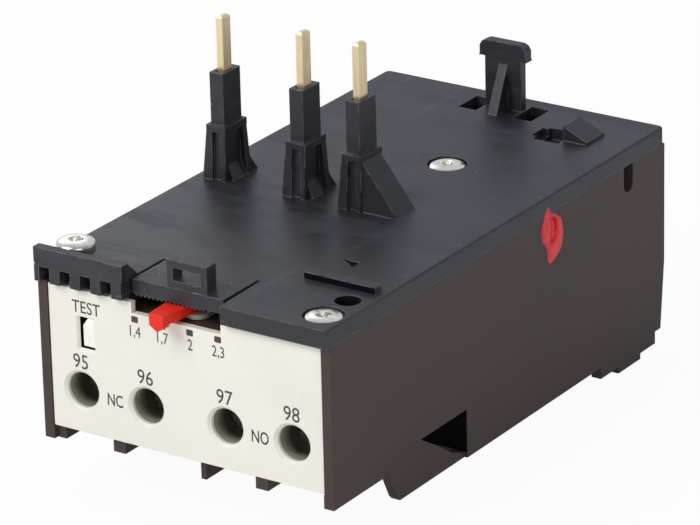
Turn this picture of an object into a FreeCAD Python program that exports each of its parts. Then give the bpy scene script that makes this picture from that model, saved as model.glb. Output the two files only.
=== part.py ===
import FreeCAD, Part
import os
import re
import Sketcher

# Plug-in thermal overload relay for a mini contactor, 45 mm wide.
#
# Axes: x runs across the width, y from the front panel to the rear wall, z up.
# Heights are measured from the lowest point of the rear foot. The datum for y is the front
# face of the side walls; every sub-part is shifted back by half of the whole reach, so the
# origin lies under the middle of the relay.

SIZES = {
    # housing
    "width": 45.0,
    "depth": 82.3,
    "base_height": 27.05,
    "foot_drop": 2.6,
    "wall": 1.5,
    "floor_thick": 1.6,
    "front_sole": 4.9,
    "arch_top": 6.9,
    "arch_start": 12.6,
    "arch_end": 31.2,
    "fin_inset": 0.45,
    "fin_thick": 1.3,
    "rib_half": 0.95,
    "rib_thick": 0.8,
    "skirt_thick": 0.7,
    "rib_place": 11.1,
    "block_depth": 17.5,
    "chamber_front": 4.4,
    "chamber_back": 12.0,
    "chamber_top": 18.6,
    "seam_slot_place": 72.6,
    "seam_slot_wide": 2.4,
    "seam_slot_deep": 3.85,
    # cover
    "cover_thick": 2.5,
    "cover_lead": 0.7,
    "lip_height": 2.2,
    "lip_reach": 13.9,
    "vent_wide": 1.65,
    "vent_pitch": 3.23,
    "vent_first": 1.6,
    "vent_tall": 2.1,
    "vent_deep": 2.2,
    "tongue_left": 8.3,
    "tongue_right": 5.7,
    "tongue_front": 1.2,
    "tooth_pitch": 0.65,
    "tooth_high": 0.25,
    "edge_round": 0.35,
    "corner_round": 0.8,
    "slit": 0.5,
    "slit_wide": 0.75,
    "slit_long": 8.8,
    "loop_wide": 6.2,
    "loop_high": 3.75,
    "loop_deep": 2.1,
    "loop_bar": 1.0,
    "loop_place": 0.1,
    "hook_wide": 5.8,
    "hook_high": 9.7,
    "hook_thick": 1.2,
    "hook_head": 2.35,
    "hook_overhang": 0.8,
    "hook_back": 77.0,
    "hook_window": 3.1,
    # contact pins and their sleeves
    "pin_wide": 1.05,
    "pin_deep": 1.8,
    "pin_show": 7.6,
    "pin_row": 37.1,
    "pin_left": 18.45,
    "pin_middle": 5.75,
    "pin_right": 3.05,
    "sleeve_wide": 2.1,
    "sleeve_deep": 4.05,
    "sleeve_high": 7.3,
    "collar_wide": 3.1,
    "collar_deep": 5.0,
    "collar_high": 7.8,
    "sleeve_fit": 0.05,
    # front panel
    "panel_thick": 0.9,
    "panel_set": 0.15,
    "panel_low": 6.85,
    "panel_high": 26.75,
    "panel_half": 21.0,
    "notch_low": 25.3,
    "access_hole": 4.9,
    "access_high": 12.6,
    "access_inner": 6.15,
    "access_outer": 16.35,
    "aux_arm_wide": 3.0,
    "window_bevel": 0.35,
    "hole_bevel": 0.4,
    "window_left": 16.4,
    "window_right": 13.9,
    "window_low": 18.6,
    "window_high": 23.1,
    # setting lever
    "lever_pivot": 14.0,
    "lever_shift": 1.0,
    "lever_reach": 2.7,
    "lever_thick": 1.35,
    "lever_tip_half": 1.1,
    "lever_root_half": 1.55,
    "pivot_radius": 2.0,
    "hub_radius": 3.4,
    "cam_radius": 5.2,
    "cam_thick": 0.6,
    "nose_radius": 1.7,
    "run_fit": 0.05,
    "gap": 0.1,
    # screws
    "head_radius": 2.6,
    "head_high": 1.7,
    "post_radius": 3.0,
    "shank_radius": 1.4,
    "shank_long": 9.0,
    "screw_fit": 0.12,
    "calibration_back": 52.6,
    "calibration_high": 24.4,
    "calibration_radius": 2.0,
    "clamp_screw_radius": 1.5,
    "load_screw_radius": 1.75,
    "load_screw_high": 3.2,
    # inside
    "phase_pitch": 13.5,
    "strip_row": 66.0,
    "strip_thick": 0.9,
    "strip_wide": 7.0,
    "strip_top": 24.3,
    "strap_high": 5.7,
    "strap_thick": 1.0,
    "slide_low": 22.5,
    "slide_thick": 1.3,
    "slide_travel": 2.0,
    "trip_pivot_side": 9.0,
    "trip_pivot_back": 44.3,
    "trip_arm_long": 15.0,
    "trip_arm_short": 9.0,
    "bridge_row": 23.0,
    "carrier_travel": 1.2,
    "key_travel": 1.5,
    "key_rear": 0.75,
}

ALIAS = re.compile(r"[a-z][a-z_]*")
NEAR = 1e-6

doc = FreeCAD.newDocument("OverloadRelay")
sheet = doc.addObject("Spreadsheet::Sheet", "Sizes")
for row, (name, number) in enumerate(SIZES.items(), start=1):
    sheet.set("A%d" % row, name)
    sheet.set("B%d" % row, str(number))
    sheet.setAlias("B%d" % row, name)
doc.recompute()

# Levels and faces that several sub-parts share, as formulas of the sheet's sizes.
SOLE = "foot_drop"
SEAM = "(foot_drop + base_height)"
DECK = "(foot_drop + base_height + cover_thick)"
HALF = "(width / 2)"
INNER = "(width / 2 - wall)"
MIDDLE = "((depth - lever_reach) / 2)"
SLEEVE_TOP = "(foot_drop + base_height + cover_thick + collar_high + sleeve_high)"
LEDGE = "(foot_drop + notch_low - gap)"
CAM_TOP = "(foot_drop + notch_low + cam_thick)"
CAVITY_FLOOR = "(foot_drop + floor_thick)"
UPPER_FLOOR = "(foot_drop + arch_top + floor_thick)"
ARCH = "(foot_drop + arch_top)"
SLIDE = "(foot_drop + slide_low)"
SLIDE_TOP = "(foot_drop + slide_low + slide_thick)"
GUIDE_TOP = "(foot_drop + slide_low - gap)"
CHAMBER_TOP = "(foot_drop + chamber_top)"
STRAP = "(foot_drop + strap_high)"
STRAP_TOP = "(foot_drop + strap_high + strap_thick)"
CALIBRATION = "(foot_drop + calibration_high)"
FOOT_FRONT = "(depth - 17.1)"
FOOT_STEP = "(depth - 12.4)"

# Places across the width, and the turn of the lever at rest in degrees.
PHASES = ("0 - phase_pitch", "0", "phase_pitch")
AUX_PLACES = ("0 - access_outer", "0 - access_inner", "access_inner", "access_outer")
PIN_PLACES = ("0 - pin_left", "0 - pin_middle", "pin_right")
POST_SPOT = ("4.5", "55.4")
SCREW_SPOTS = (("0 - 19.1", "3.9"), ("19.15", "3.75"), POST_SPOT)
TEETH = 18
LEVER_TURN = -3.6


# ---------------------------------------------------------------- helpers

def bound(formula):
    """Write a formula of plain size names as an expression on the sheet."""
    return ALIAS.sub(lambda word: "Sizes." + word.group(), formula)


def value(formula):
    """Work a formula out now, in millimetres."""
    return float(sheet.evalExpression(bound(formula)))


def plus(*terms):
    return " + ".join("(%s)" % term for term in terms)


def minus(first, second):
    return "(%s) - (%s)" % (first, second)


def times(factor, formula):
    return "(%s) * (%s)" % (factor, formula)


def box(left, near, right, far):
    """Corners of an upright rectangle."""
    return [(left, near), (right, near), (right, far), (left, far)]


def new_body(name, x="0", y="0", z="0", turn=0.0, axis=(0, 0, 1)):
    """Start a sub-part and place its own origin in the relay."""
    body = doc.addObject("PartDesign::Body", "Body_" + name)
    body.Label = name
    body.Placement.Rotation = FreeCAD.Rotation(FreeCAD.Vector(*axis), turn)
    body.setExpression("Placement.Base.x", bound(x))
    body.setExpression("Placement.Base.y", bound(minus(y, MIDDLE)))
    body.setExpression("Placement.Base.z", bound(z))
    return body


def sketch_on(body, plane, place):
    """Start a sketch parallel to a base plane of the body, at a given distance from it."""
    sketch = body.newObject("Sketcher::SketchObject", "Sketch")
    support = [item for item in body.Origin.OriginFeatures if item.Role == plane + "_Plane"][0]
    sketch.AttachmentSupport = [(support, "")]
    sketch.MapMode = "FlatFace"
    lift = minus("0", place) if plane == "XZ" else place
    sketch.setExpression("AttachmentOffset.Base.z", bound(lift))
    return sketch


def fix(sketch, geometry, end, spot):
    """Hold a point of the sketch at two formulas."""
    for kind, formula in zip(("DistanceX", "DistanceY"), spot):
        rule = Sketcher.Constraint(kind, -1, 1, geometry, end, value(formula))
        index = sketch.addConstraint(rule)
        sketch.setExpression("Constraints[%d]" % index, bound(formula))


def outline(sketch, corners):
    """Draw one closed run of straight edges through corners given as formulas."""
    first = sketch.GeometryCount
    spots = [FreeCAD.Vector(value(u), value(v), 0) for u, v in corners]
    count = len(spots)
    for index in range(count):
        sketch.addGeometry(Part.LineSegment(spots[index], spots[(index + 1) % count]), False)
    for index in range(count):
        following = first + (index + 1) % count
        sketch.addConstraint(Sketcher.Constraint("Coincident", first + index, 2, following, 1))
        fix(sketch, first + index, 1, corners[index])


def circle(sketch, u, v, radius):
    """Draw a circle whose centre and radius are formulas."""
    centre = FreeCAD.Vector(value(u), value(v), 0)
    normal = FreeCAD.Vector(0, 0, 1)
    index = sketch.addGeometry(Part.Circle(centre, normal, value(radius)), False)
    fix(sketch, index, 3, (u, v))
    rule = sketch.addConstraint(Sketcher.Constraint("Radius", index, value(radius)))
    sketch.setExpression("Constraints[%d]" % rule, bound(radius))


def extrude(kind, body, plane, start, end, loops=(), rounds=()):
    """Pad or pocket closed loops and circles from start to end along the plane's axis."""
    sketch = sketch_on(body, plane, start)
    for corners in loops:
        outline(sketch, corners)
    for u, v, radius in rounds:
        circle(sketch, u, v, radius)
    feature = body.newObject("PartDesign::" + kind, kind)
    feature.Profile = sketch
    feature.setExpression("Length", bound(minus(end, start)))
    feature.Reversed = (plane == "XZ") == (kind == "Pad")
    return feature


def pad(body, plane, start, end, *loops, **more):
    return extrude("Pad", body, plane, start, end, loops, **more)


def cut(body, plane, start, end, *loops, **more):
    return extrude("Pocket", body, plane, start, end, loops, **more)


def spin(kind, body, corners, plane="XZ"):
    """Turn a profile round the body's own z axis."""
    sketch = sketch_on(body, plane, "0")
    outline(sketch, corners)
    feature = body.newObject("PartDesign::" + kind, kind)
    feature.Profile = sketch
    feature.ReferenceAxis = (sketch, ["V_Axis"])
    feature.Angle = 360.0
    return feature


def edges_of(feature, test):
    """Names of the straight or round edges of a feature whose two end points pass a test."""
    doc.recompute()
    names = []
    for index, edge in enumerate(feature.Shape.Edges, start=1):
        ends = [edge.Vertexes[0].Point, edge.Vertexes[-1].Point]
        if test(*ends):
            names.append("Edge%d" % index)
    return names


def ease(kind, body, feature, size, test):
    """Round or bevel the edges of a feature that pass a test."""
    names = edges_of(feature, test)
    eased = body.newObject("PartDesign::" + kind, kind)
    eased.Base = (feature, names)
    eased.setExpression("Radius" if kind == "Fillet" else "Size", bound(size))
    return eased


# ---------------------------------------------------------------- housing

def side_profile():
    """Outline of a side wall: front skirt, arch over the terminals, sole and stepped foot."""
    front = plus(SOLE, "front_sole")
    return [
        ("0", front),
        ("arch_start - 1.4", front),
        ("arch_start", plus(front, "0.8")),
        ("arch_start", ARCH),
        ("arch_end", ARCH),
        ("arch_end", SOLE),
        (FOOT_FRONT, SOLE),
        (FOOT_FRONT, "foot_drop - 1.65"),
        (FOOT_STEP, "foot_drop - 1.65"),
        (FOOT_STEP, "0"),
        ("depth - 6.5", "0"),
        ("depth - 6.5", "foot_drop - 1.75"),
        ("depth - 2.5", "foot_drop - 1.75"),
        ("depth - 2.5", SOLE),
        ("depth - 1", SOLE),
        ("depth", plus(SOLE, "10")),
        ("depth", SEAM),
        ("0", SEAM),
    ]


def fin_profile():
    """Outline of the wall beside the main terminals, slanted in front and sloped behind."""
    return [
        ("arch_start + 0.4", plus(SOLE, "front_sole")),
        ("arch_start + 2.5", plus(SOLE, "0.6")),
        ("arch_start + 3.1", SOLE),
        ("arch_end", SOLE),
        ("arch_end", plus(SOLE, "0.65")),
        ("arch_end - 3", plus(SOLE, "1.8")),
        ("arch_end - 6.6", plus(SOLE, "4.2")),
        ("arch_end - 11", ARCH),
        ("arch_start + 0.4", ARCH),
    ]


def base_housing():
    body = new_body("base_housing")
    pad(body, "YZ", minus("0", HALF), HALF, side_profile())
    # cavity, stepped over the main terminals
    back = minus("depth", "wall")
    pocket = [
        ("block_depth", UPPER_FLOOR),
        ("arch_end + wall", UPPER_FLOOR),
        ("arch_end + wall", CAVITY_FLOOR),
        (back, CAVITY_FLOOR),
        (back, SEAM),
        ("block_depth", SEAM),
    ]
    cut(body, "YZ", minus("0", INNER), INNER, pocket)
    # underside of the foot stays hollow between the side walls
    foot = box(FOOT_FRONT, "0", "depth - 2.5", SOLE)
    cut(body, "YZ", minus("0", INNER), INNER, foot)
    # seat of the front panel
    seat = box("0 - panel_half - gap", plus(SOLE, "panel_low - gap"), "panel_half + gap", SEAM)
    cut(body, "XZ", "0", "panel_thick + panel_set", seat)
    auxiliary_chambers(body)
    # tunnel of the test key and room for the lever
    cut(body, "XZ", "panel_thick", "block_depth", key_window())
    sweep = box("0 - lever_shift - 8.5", "panel_thick", "8.5 - lever_shift", "block_depth")
    cut(body, "XY", LEDGE, SEAM, sweep)
    main_terminal_bay(body)
    inner_ribs(body)
    side_openings(body)
    screw_bores(body)
    return body


def key_window():
    """Section of the opening in which the test key slides."""
    return box("0 - window_left", plus(SOLE, "window_low"), "0 - window_right", plus(SOLE, "window_high"))


def auxiliary_chambers(body):
    """Four wire chambers, open below, each with a screwdriver bore in front."""
    inner = ("rib_thick / 2", "rib_place - rib_half")
    outer = ("rib_place + rib_half", "panel_half - 1.4")
    lip = box("0 - panel_half", "0", "panel_half", "skirt_thick")
    cut(body, "XY", plus(SOLE, "front_sole"), plus(SOLE, "panel_low"), lip)
    for near, far in (inner, outer):
        for side in ("1", "0 - 1"):
            left, right = times(side, near), times(side, far)
            skirt = box(left, "skirt_thick", right, "arch_start")
            cut(body, "XY", plus(SOLE, "front_sole"), plus(SOLE, "panel_low"), skirt)
            chamber = box(left, "chamber_front", right, "chamber_back")
            cut(body, "XY", plus(SOLE, "front_sole"), CHAMBER_TOP, chamber)
    # no skirt in front of the middle rib, nor beside the right side wall
    before_rib = box("0 - rib_thick / 2", "skirt_thick", "rib_thick / 2", "3.6")
    beside_wall = box("panel_half - 1.4", "skirt_thick", "panel_half", "arch_start")
    for bare in (before_rib, beside_wall):
        cut(body, "XY", plus(SOLE, "front_sole"), plus(SOLE, "panel_low"), bare)
    # the middle rib hangs lower than its neighbours
    middle = box("0 - rib_thick / 2", "3.6", "rib_thick / 2", "arch_start")
    pad(body, "XY", plus(SOLE, "2.6"), plus(SOLE, "panel_low"), middle)
    cut(body, "XZ", "panel_thick", "chamber_front", rounds=access_bores())
    for place in AUX_PLACES:
        slot = box(minus(place, "aux_arm_wide / 2 + gap"), minus(CHAMBER_TOP, "strap_thick + 0.2 + gap"),
                   plus(place, "aux_arm_wide / 2 + gap"), CHAMBER_TOP)
        cut(body, "XZ", "chamber_back", "block_depth", slot)


def access_bores():
    """The four screwdriver bores, which run through panel and housing alike."""
    return [(place, plus(SOLE, "access_high"), "access_hole / 2") for place in AUX_PLACES]


def main_terminal_bay(body):
    """Three bays below the arch, parted by walls that hang from the upper floor."""
    outer = minus(HALF, "fin_inset")
    for start, end in ((minus("0", outer), minus("fin_thick", outer)), (minus(outer, "fin_thick"), outer)):
        pad(body, "YZ", start, end, fin_profile())
    slant = fin_profile()[:4]
    parting = slant + [("arch_end", ARCH), ("arch_start + 0.4", ARCH)]
    for side in ("0 - 1", "1"):
        middle = times(side, "phase_pitch / 2")
        pad(body, "YZ", minus(middle, "fin_thick / 2"), plus(middle, "fin_thick / 2"), parting)
    # slots through the step wall for the three load straps
    for side in ("0 - 1", "0", "1"):
        middle = times(side, "phase_pitch")
        slot = box(minus(middle, "1.2 + gap"), minus(STRAP, "gap"), plus(middle, "1.2 + gap"),
                   plus(STRAP_TOP, "gap"))
        cut(body, "XZ", "arch_end - 1", "arch_end + wall + 1", slot)


def inner_ribs(body):
    """Walls between the phases, seats under the straps, guides, pivots and screw post."""
    for side in ("0 - 1", "1"):
        middle = times(side, "phase_pitch / 2")
        rib = box(minus(middle, "0.6"), "strip_row - 6.5", plus(middle, "0.6"), "depth - wall")
        pad(body, "XY", CAVITY_FLOOR, GUIDE_TOP, rib)
    for near, far in (("49.5", "51"), ("strip_row - 1", "strip_row + 1")):
        seat = box(minus("0", INNER), near, INNER, far)
        pad(body, "XY", CAVITY_FLOOR, minus(STRAP, "gap"), seat)
    cradle = [
        ("0 - 7.3", CAVITY_FLOOR), ("0 - 1.9", CAVITY_FLOOR), ("0 - 1.9", SLIDE_TOP),
        ("0 - 3.1", SLIDE_TOP), ("0 - 3.1", GUIDE_TOP), ("0 - 6.1", GUIDE_TOP),
        ("0 - 6.1", SLIDE_TOP), ("0 - 7.3", SLIDE_TOP),
    ]
    pad(body, "XZ", "arch_end + wall + 0.5", "arch_end + wall + 3.5", cradle)
    pad(body, "XY", CAVITY_FLOOR, GUIDE_TOP, rounds=[("trip_pivot_side", "trip_pivot_back", "3")])
    pad(body, "XY", GUIDE_TOP, plus(SLIDE_TOP, "0.6"),
        rounds=[("trip_pivot_side", "trip_pivot_back", "1.5")])
    pad(body, "XY", CAVITY_FLOOR, SEAM, rounds=[POST_SPOT + ("post_radius",)])
    # pivot of the setting lever
    pad(body, "XY", LEDGE, plus(CAM_TOP, "lever_thick - gap"),
        rounds=[("0 - lever_shift", "lever_pivot", "pivot_radius")])
    # boss round the calibration screw
    boss = box(minus(INNER, "3"), "calibration_back - 3", INNER, "calibration_back + 3")
    pad(body, "XY", plus(SOLE, "21.5"), SEAM, boss)


def side_openings(body):
    """Calibration hole and seam slot of the right wall."""
    bore = [("calibration_back", CALIBRATION, "calibration_radius")]
    cut(body, "YZ", minus(INNER, "3"), HALF, rounds=bore)
    low = minus(SEAM, "seam_slot_deep - seam_slot_wide / 2")
    slot = box("seam_slot_place - seam_slot_wide / 2", low, "seam_slot_place + seam_slot_wide / 2", SEAM)
    cut(body, "YZ", INNER, HALF, slot)
    cut(body, "YZ", INNER, HALF, rounds=[("seam_slot_place", low, "seam_slot_wide / 2")])


def screw_bores(body):
    for x, y in SCREW_SPOTS:
        cut(body, "XY", minus(SEAM, "shank_long"), SEAM, rounds=[(x, y, "shank_radius + gap")])


# ---------------------------------------------------------------- cover

def top_cover():
    body = new_body("top_cover")
    # plate with the two slits that free the tongue, and the tongue set back in front
    front = "0 - cover_lead"
    left_out, left_in = "0 - tongue_left - slit", "0 - tongue_left"
    plate = [
        (minus("0", HALF), front), (left_out, front), (left_out, "slit_long"),
        (left_in, "slit_long"), (left_in, "tongue_front"),
        ("tongue_right", "tongue_front"), ("tongue_right", "slit_long"),
        ("tongue_right + slit", "slit_long"), ("tongue_right + slit_wide", front),
        (HALF, front), (HALF, "depth"), (minus("0", HALF), "depth"),
    ]
    blank = pad(body, "XY", SEAM, DECK, plate)
    round_cover(body, blank)
    # thinner above the lever
    relief = box("0 - lever_shift - 8.5", "0 - cover_lead", "8.5 - lever_shift", "block_depth + 1")
    cut(body, "XY", SEAM, plus(SEAM, "0.55"), relief)
    vented_lip(body)
    for index, place in enumerate(PIN_PLACES):
        pin_sleeve(body, place, index == 2)
    tongue_loop(body)
    rear_hook(body)
    small_marks(body)
    screw_seats(body)
    return body


def round_cover(body, blank):
    """Round the rear corners of the plate, then its upper edges at the right and rear."""
    half, rear, high = value(HALF), value("depth"), value(DECK)

    def corner(first, second):
        upright = abs(first.z - second.z) > NEAR
        return upright and abs(first.y - rear) < NEAR and abs(second.y - rear) < NEAR

    cornered = ease("Fillet", body, blank, "corner_round", corner)
    reach = value("corner_round") + NEAR

    def brim(first, second):
        if abs(first.z - high) > NEAR or abs(second.z - high) > NEAR:
            return False
        at_right = first.x > half - reach and second.x > half - reach
        at_rear = first.y > rear - reach and second.y > rear - reach
        return at_right or at_rear

    ease("Fillet", body, cornered, "edge_round", brim)


def vented_lip(body):
    """Raised lip over the front left corner, with four vents that open downwards."""
    section = [
        ("0 - cover_lead", DECK), ("0 - cover_lead", plus(DECK, "lip_height")),
        ("0.6", plus(DECK, "lip_height")), ("2.9", DECK),
    ]
    pad(body, "YZ", minus("0", HALF), minus("lip_reach", HALF), section)
    for index in range(4):
        middle = plus(minus("vent_first", HALF), times(str(index), "vent_pitch"))
        left, right = minus(middle, "vent_wide / 2"), plus(middle, "vent_wide / 2")
        vent = box(left, SEAM, right, plus(SEAM, "vent_tall"))
        cut(body, "XZ", "0 - cover_lead", "vent_deep", vent)
    x, y = SCREW_SPOTS[0]
    cut(body, "XY", DECK, plus(DECK, "lip_height"), rounds=[(x, y, "head_radius + screw_fit")])


def pin_sleeve(body, place, braced):
    """Insulating sleeve round one pin: a core, a collar ring and the ribs that splay to its foot."""
    top = plus(DECK, "collar_high")
    ring = minus(top, "0.9")
    left, right = minus(place, "collar_wide / 2"), plus(place, "collar_wide / 2")
    front, rear = "(pin_row - collar_deep / 2)", "(pin_row + collar_deep / 2)"
    pad(body, "XY", ring, top, box(left, front, right, rear))
    sleeve = box(minus(place, "sleeve_wide / 2"), "pin_row - sleeve_deep / 2",
                 plus(place, "sleeve_wide / 2"), "pin_row + sleeve_deep / 2")
    pad(body, "XY", DECK, SLEEVE_TOP, sleeve)
    # left rib, splayed outwards over the whole depth
    rib = [(minus(left, "0.8"), DECK), (plus(left, "0.7"), DECK), (plus(left, "1"), ring), (left, ring)]
    pad(body, "XZ", front, rear, rib)
    # corner rib in front and foot ramp on the right
    inside = minus(right, "0.9")
    corner = [(inside, DECK), (minus(right, "0.3"), DECK), (right, ring), (inside, ring)]
    pad(body, "XZ", front, plus(front, "0.8"), corner)
    root = minus(right, "0.6")
    ramp = [(root, DECK), (plus(right, "0.4"), DECK), (root, plus(DECK, "2.4"))]
    pad(body, "XZ", plus(front, "1"), minus(rear, "1"), ramp)
    # right rib at the rear, and the low ramp behind it
    brace = [(root, DECK), (plus(right, "0.6"), DECK), (right, ring), (root, ring)]
    pad(body, "XZ", minus(rear, "1"), minus(rear, "0.1"), brace)
    tail = [(minus(rear, "0.6"), DECK), (plus(rear, "1.8"), DECK), (minus(rear, "0.6"), plus(DECK, "3.2"))]
    pad(body, "YZ", minus(right, "1.2"), plus(right, "0.3"), tail)
    if braced:
        wide = [(root, DECK), (plus(right, "5.3"), DECK), (right, ring), (root, ring)]
        pad(body, "XZ", plus(front, "0.3"), minus(rear, "0.3"), wide)
    bore = box(minus(place, "pin_wide / 2 + sleeve_fit"), "pin_row - pin_deep / 2 - sleeve_fit",
               plus(place, "pin_wide / 2 + sleeve_fit"), "pin_row + pin_deep / 2 + sleeve_fit")
    cut(body, "XY", SEAM, SLEEVE_TOP, bore)
    # the mouth is open in front of the pin
    mouth = box(minus(place, "pin_wide / 2 + sleeve_fit"), "pin_row - pin_deep / 2 - 0.65",
                plus(place, "pin_wide / 2 + sleeve_fit"), "pin_row")
    cut(body, "XY", minus(SLEEVE_TOP, "1.6"), SLEEVE_TOP, mouth)


def tongue_loop(body):
    """Latch loop that stands on the tongue."""
    left, right = "loop_place - loop_wide / 2", "loop_place + loop_wide / 2"
    frame = [
        (left, DECK), (right, DECK), (right, plus(DECK, "loop_high")), (left, plus(DECK, "loop_high")),
    ]
    pad(body, "XZ", "tongue_front + gap", "tongue_front + gap + loop_deep", frame)
    hole = box(plus(left, "0.95"), plus(DECK, "1"), minus(right, "0.95"), plus(DECK, "loop_high - loop_bar"))
    cut(body, "XZ", "tongue_front", "tongue_front + loop_deep + 1", hole)
    # detent teeth for the lever under the front edge
    teeth = []
    for index in range(TEETH):
        start = plus("0.4 - tongue_left", times(str(index), "tooth_pitch"))
        teeth.append(box(start, "tongue_front", plus(start, "tooth_pitch / 2"), "tongue_front + 0.6"))
    pad(body, "XY", plus(SEAM, "0.55 - tooth_high"), plus(SEAM, "0.55"), *teeth)


def rear_hook(body):
    """T-shaped hook at the rear edge, with its gusset and a window on either side."""
    low, high = plus(DECK, "hook_high - hook_head"), plus(DECK, "hook_high")
    half, end = "hook_wide / 2", "(hook_wide / 2 + hook_overhang)"
    post = box(minus("0", half), DECK, half, low)
    pad(body, "XZ", "hook_back", "hook_back + hook_thick", post)
    head = [
        (minus("0", plus(end, "0.15")), low), (plus(end, "0.15"), low), (end, plus(low, "0.3")),
        (end, minus(high, "0.9")), (minus(end, "0.35"), minus(high, "0.3")), (minus(end, "1"), high),
        (minus("1", end), high), (minus("0.35", end), minus(high, "0.3")),
        (minus("0", end), minus(high, "0.9")), (minus("0", end), plus(low, "0.3")),
    ]
    pad(body, "XZ", "hook_back - 0.1", "hook_back + hook_thick + 0.2", head)
    gusset = [("hook_back - 3", DECK), ("hook_back", DECK), ("hook_back", minus(low, "0.8"))]
    pad(body, "YZ", "0 - 0.7", "0.7", gusset)
    for side in ("1", "0 - 1"):
        inner, outer = times(side, plus(half, "gap")), times(side, plus(half, "hook_window - gap"))
        window = box(inner, "hook_back - 2.4", outer, "hook_back + 2.6")
        cut(body, "XY", SEAM, DECK, window)


def small_marks(body):
    """Stop bar, vent hole, pointer and the latch wedge with the hollow beside it."""
    pad(body, "XY", DECK, plus(DECK, "0.95"), box("10.5", "12.25", "21.2", "13.75"))
    cut(body, "XY", SEAM, DECK, rounds=[("19.3", "9", "1.75")])
    cut(body, "XY", minus(DECK, "0.4"), DECK, [("11.1", "20.2"), ("13.8", "20.2"), ("13.7", "18.5")])
    for left, near, far, deep in (("9.4", "69.2", "74", "1.7"), ("8.6", "70.2", "73.5", "1.2")):
        floor = minus(DECK, deep)
        hollow = [(near, DECK), (minus(far, "1.6"), floor), (far, floor), (far, DECK)]
        cut(body, "YZ", left, "13.5", hollow)
    wedge = [("13.5", DECK), ("17.3", DECK), ("17.3", plus(DECK, "0.35")), ("13.5", plus(DECK, "2.1"))]
    pad(body, "XZ", "70.5", "75", wedge)


def screw_seats(body):
    """Counterbored seats of the cover screws; the front left one stands on the surface."""
    for index, (x, y) in enumerate(SCREW_SPOTS):
        cut(body, "XY", SEAM, DECK, rounds=[(x, y, "shank_radius + screw_fit")])
        if index:
            cut(body, "XY", minus(DECK, "head_high - gap"), DECK, rounds=[(x, y, "head_radius + screw_fit")])


# ---------------------------------------------------------------- front panel

def front_panel():
    body = new_body("front_panel", y="panel_set")
    top, low = plus(SOLE, "panel_high"), plus(SOLE, "panel_low")
    notch = plus(SOLE, "notch_low")
    face = [
        ("0 - panel_half", low), ("panel_half", low), ("panel_half", top),
        ("5.9", top), ("5.9", notch), ("0 - 7.9", notch), ("0 - 7.9", top), ("0 - panel_half", top),
    ]
    pad(body, "XZ", "0", "panel_thick", face)
    window = cut(body, "XZ", "0", "panel_thick", key_window())
    side, sill = value("0 - window_left"), value(plus(SOLE, "window_low"))

    def frame(first, second):
        low = abs(first.z - sill) < NEAR and abs(second.z - sill) < NEAR
        left = abs(first.x - side) < NEAR and abs(second.x - side) < NEAR
        return abs(first.y) < NEAR and abs(second.y) < NEAR and (low or left)

    ease("Chamfer", body, window, "window_bevel", frame)
    holes = cut(body, "XZ", "0", "panel_thick", rounds=access_bores())
    radius = value("access_hole / 2")

    def rim(first, second):
        high = value(plus(SOLE, "access_high"))
        return abs(first.y) < NEAR and first.isEqual(second, NEAR) and abs(first.z - high) <= radius + NEAR

    ease("Chamfer", body, holes, "hole_bevel", rim)
    return body


# ---------------------------------------------------------------- metal pins and straps

def line_pin(number, place, phase):
    """Contact pin, its cross strap, and the drop that feeds the heater of one phase."""
    body = new_body("line_pin_%d" % number)
    strap_low, strap_high = plus(SOLE, "25"), plus(SOLE, "26")
    blade = box(minus(place, "pin_wide / 2"), "pin_row - pin_deep / 2",
                plus(place, "pin_wide / 2"), "pin_row + pin_deep / 2")
    shaft = pad(body, "XY", strap_low, plus(SLEEVE_TOP, "pin_show"), blade)
    top = value(plus(SLEEVE_TOP, "pin_show"))

    def crown(first, second):
        return abs(first.z - top) < NEAR and abs(second.z - top) < NEAR

    ease("Chamfer", body, shaft, "0.3", crown)
    drop = "strip_row - 9.5"
    ends = sorted((place, phase), key=value)
    cross = box(minus(ends[0], "pin_wide / 2"), "pin_row - pin_deep / 2",
                plus(ends[1], "pin_wide / 2"), "pin_row + pin_deep / 2")
    pad(body, "XY", strap_low, strap_high, cross)
    side = [
        ("pin_row", strap_low), (drop, strap_low), (drop, plus(SOLE, "14")),
        ("strip_row - strip_wide / 2 - 1.1", plus(SOLE, "14")),
        ("strip_row - strip_wide / 2 - 1.1", plus(SOLE, "15.2")),
        (plus(drop, "1.2"), plus(SOLE, "15.2")), (plus(drop, "1.2"), strap_high), ("pin_row", strap_high),
    ]
    pad(body, "YZ", minus(phase, "0.6"), plus(phase, "0.6"), side)
    return body


def bimetal_strip(number, phase):
    body = new_body("bimetal_%d" % number, x=phase, y="strip_row")
    blank = box("0 - strip_thick / 2", "0 - strip_wide / 2", "strip_thick / 2", "strip_wide / 2")
    pad(body, "XY", STRAP_TOP, plus(SOLE, "strip_top"), blank)
    return body


def heater_winding(number, phase):
    """Insulated heater wound round the strip: a flat sleeve with the turns standing out."""
    body = new_body("heater_%d" % number, x=phase, y="strip_row")
    outer = box("0 - 1.5", "0 - strip_wide / 2 - 1", "1.5", "strip_wide / 2 + 1")
    inner = box("0 - strip_thick / 2 - gap", "0 - strip_wide / 2 - gap",
                "strip_thick / 2 + gap", "strip_wide / 2 + gap")
    pad(body, "XY", plus(SOLE, "8.5"), plus(SOLE, "20.5"), outer, inner)
    groove_out = box("0 - 2", "0 - strip_wide / 2 - 2", "2", "strip_wide / 2 + 2")
    groove_in = box("0 - 1.1", "0 - strip_wide / 2 - 0.6", "1.1", "strip_wide / 2 + 0.6")
    groove = cut(body, "XY", plus(SOLE, "9.3"), plus(SOLE, "10.1"), groove_out, groove_in)
    turns = body.newObject("PartDesign::LinearPattern", "Turns")
    turns.Originals = [groove]
    turns.Direction = (groove.Profile[0], ["N_Axis"])
    turns.Length = 9.6
    turns.Occurrences = 7
    body.Tip = turns
    return body


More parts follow.
